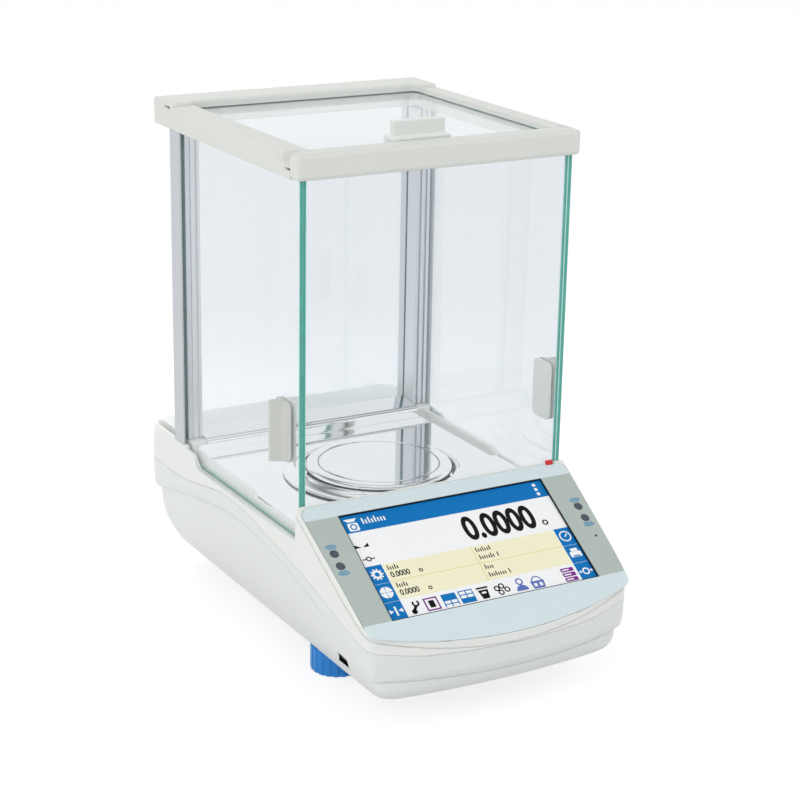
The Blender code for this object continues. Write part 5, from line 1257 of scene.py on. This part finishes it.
class BALANCE_OT_sockets(bpy.types.Operator):
    """Sockets at the side and the back"""
    bl_idname = "balance.sockets"
    bl_label = "Sockets"

    def execute(self, context):
        looks, sizes = context.scene.balance_finishes, context.scene.balance_sizes
        black = finish("Connector plastic, black", looks.black, gloss_plastic)
        plain = finish("Turned steel", looks.plain_steel, plain_metal)
        gold = finish("Contact plating, gold", looks.brass, plain_metal)
        for node in ("power_inlet", "network_socket"):
            finish_node(node, black)
        finish_node("serial_socket", plain)
        self.add_usb("usb_socket_side", "usb_mouth_side", (-1, 0, 0), [plain, black, gold])
        self.add_usb("usb_socket_rear", "usb_mouth_rear", (0, 1, 0), [plain, black, gold])
        self.add_inlet_pin(plain)
        self.add_network_contacts(gold)
        self.add_serial_pins(gold, plain, black)
        return {'FINISHED'}

    def mouth(self, node, out):
        """A socket's mouth: a matrix with z out of it and y up, and its width, height and depth."""
        low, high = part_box(node)
        out = Vector(out)
        up = Vector((0, 0, 1))
        across = up.cross(out)
        size = high - low
        width, height, depth = (abs(size.dot(way)) for way in (across, up, out))
        centre = (low + high) / 2 + out * depth / 2
        turn = Matrix((across, up, out)).transposed().to_4x4()
        return Matrix.Translation(centre) @ turn, width, height, depth

    def add_usb(self, node, name, out, materials):
        """A pressed shell whose back is black plastic and whose inner walls are black as painted shade, and a tongue
        that carries four contacts.
        """
        place, width, height, depth = self.mouth(node, out)
        wall, back, tongue = 0.45 * MM, 2 * MM, 1.0 * MM
        bm = bmesh.new()
        block(bm, (-width / 2, -height / 2, -depth), (width / 2, height / 2, 0))
        bm.normal_update()
        front = next(f for f in bm.faces if f.normal.z > 0.5)
        bmesh.ops.inset_region(bm, faces=[front], thickness=wall, use_even_offset=True)
        grown = bmesh.ops.extrude_face_region(bm, geom=[front])["geom"]
        sunk = [item for item in grown if isinstance(item, bmesh.types.BMVert)]
        bmesh.ops.translate(bm, vec=(0, 0, back - depth), verts=sunk)
        bmesh.ops.delete(bm, geom=[front], context='FACES_ONLY')
        # The sunk back and the mouth's inner walls get black; on the steel walls it is painted shade
        for vert in sunk:
            for face in vert.link_faces:
                face.material_index = 1
        parts = [(1, (-width / 2 + 1.2 * MM, -0.4 * tongue, back - depth), (width / 2 - 1.2 * MM, tongue, -1 * MM))]
        for i in range(4):
            x = (i - 1.5) * 2.3 * MM
            parts.append((2, (x - 0.5 * MM, -0.5 * tongue, back - depth), (x + 0.5 * MM, -0.4 * tongue, -1.6 * MM)))
        for material, low, high in parts:
            for vert in block(bm, low, high):
                for face in vert.link_faces:
                    face.material_index = material
        bmesh.ops.transform(bm, matrix=place, verts=bm.verts[:])
        piece = add_piece(name, bm, materials, "base")
        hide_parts(node)

    def add_inlet_pin(self, material):
        """Bright sleeve on the round inlet's centre pin."""
        place, width, height, depth = self.mouth("power_inlet", (0, 1, 0))
        bm = bmesh.new()
        radius = 1.06 * MM
        tip = -0.6 * MM
        profile = [(0.0, 2 * MM - depth), (radius, 2 * MM - depth)] + arc((0.0, tip - radius), radius, 0, 90, 6)[:-1]
        turned(bm, profile + [(0.0, tip)], place, 32)
        add_piece("inlet_pin", bm, [material], "base")

    def add_network_contacts(self, material):
        """Eight spring contacts that slope through the network socket's mouth."""
        place, width, height, depth = self.mouth("network_socket", (0, 1, 0))
        bm = bmesh.new()
        for i in range(8):
            x = (i - 3.5) * 1.02 * MM
            high = height / 2 - 1.4 * MM
            points = [(x - 0.2 * MM, high, -2 * MM), (x - 0.2 * MM, high - 0.3 * MM, -2 * MM),
                      (x - 0.2 * MM, high - 2.6 * MM, -9 * MM), (x - 0.2 * MM, high - 2.3 * MM, -9 * MM)]
            prism(bm, points, (0.4 * MM, 0, 0))
        bmesh.ops.transform(bm, matrix=place, verts=bm.verts[:])
        add_piece("network_contacts", bm, [material], "base")

    def add_serial_pins(self, gold, plain, black):
        """Nine pins on their dark carrier, and the two screw sockets beside the serial mouth."""
        place, width, height, depth = self.mouth("serial_socket", (0, 1, 0))
        bm = bmesh.new()
        block(bm, (-7.2 * MM, -4 * MM, 2.05 * MM - depth), (7.2 * MM, 4 * MM, 3.2 * MM - depth), place)
        add_piece("serial_carrier", bm, [black], "base")
        bm = bmesh.new()
        for count, y in ((5, 1.42), (4, -1.42)):
            for i in range(count):
                x = (i - (count - 1) / 2) * 2.77
                pin = [(0.0, 3 * MM - depth), (0.5 * MM, 3 * MM - depth)]
                pin += arc((0.0, -3 * MM), 0.5 * MM, 0, 90, 4)[:-1] + [(0.0, -2.5 * MM)]
                turned(bm, pin, place @ Matrix.Translation((x * MM, y * MM, 0)), 12)
        add_piece("serial_pins", bm, [gold], "base")
        bm = bmesh.new()
        for side, sign in SIDES:
            spot = place @ Matrix.Translation((sign * 12.5 * MM, 0, 0.36 * MM))
            bmesh.ops.create_cone(bm, cap_ends=True, segments=6, radius1=2.6 * MM, radius2=2.4 * MM,
                                  depth=0.7 * MM, matrix=spot)
        add_piece("serial_screw_sockets", bm, [plain], "base")


class BALANCE_OT_inside(bpy.types.Operator):
    """Finishes of what the housing hides: plate, weigh cell, loader and boards"""
    bl_idname = "balance.inside"
    bl_label = "Inside"

    def execute(self, context):
        looks = context.scene.balance_finishes
        finish_node("base_plate", finish("Die-cast aluminium", looks.casting, cast_metal))
        finish_node("weigh_cell", finish("Anodised aluminium, satin", looks.aluminium, anodised_aluminium))
        finish_node("calibration_weight", finish("Turned brass", looks.brass, plain_metal))
        finish_node("calibration_motor", finish("Turned steel", looks.plain_steel, plain_metal))
        board = finish("Circuit board, green", looks.board, circuit_board)
        finish_node("main_board", board)
        finish_node("display_board", board)
        return {'FINISHED'}


class BALANCE_PT_looks(bpy.types.Panel):
    """Lists the steps that dress the balance"""
    bl_idname = "BALANCE_PT_looks"
    bl_label = "Balance"
    bl_space_type = 'VIEW_3D'
    bl_region_type = 'UI'
    bl_category = "Balance"

    def draw(self, context):
        for step in STEPS:
            self.layout.operator(step.bl_idname)
        for group in ("balance_finishes", "balance_sizes", "balance_stage"):
            box = self.layout.box()
            settings = getattr(context.scene, group)
            for name in settings.bl_rna.properties.keys():
                if name not in ("rna_type", "name"):
                    box.prop(settings, name)


STEPS = (BALANCE_OT_stage, BALANCE_OT_housing, BALANCE_OT_top_frame, BALANCE_OT_columns, BALANCE_OT_panes,
         BALANCE_OT_handles, BALANCE_OT_panel, BALANCE_OT_screen, BALANCE_OT_chamber, BALANCE_OT_feet,
         BALANCE_OT_sockets, BALANCE_OT_inside)
GROUPS = (("balance_finishes", BalanceFinishes), ("balance_sizes", BalanceSizes), ("balance_stage", BalanceStage))


def register():
    for name, group in GROUPS:
        bpy.utils.register_class(group)
        setattr(bpy.types.Scene, name, PointerProperty(type=group))
    for step in STEPS:
        bpy.utils.register_class(step)
    bpy.utils.register_class(BALANCE_PT_looks)


def unregister():
    bpy.utils.unregister_class(BALANCE_PT_looks)
    for step in reversed(STEPS):
        bpy.utils.unregister_class(step)
    for name, group in reversed(GROUPS):
        delattr(bpy.types.Scene, name)
        bpy.utils.unregister_class(group)


def main():
    register()
    for step in STEPS:
        group, name = step.bl_idname.split(".")
        getattr(getattr(bpy.ops, group), name)()


if __name__ == "__main__":
    main()
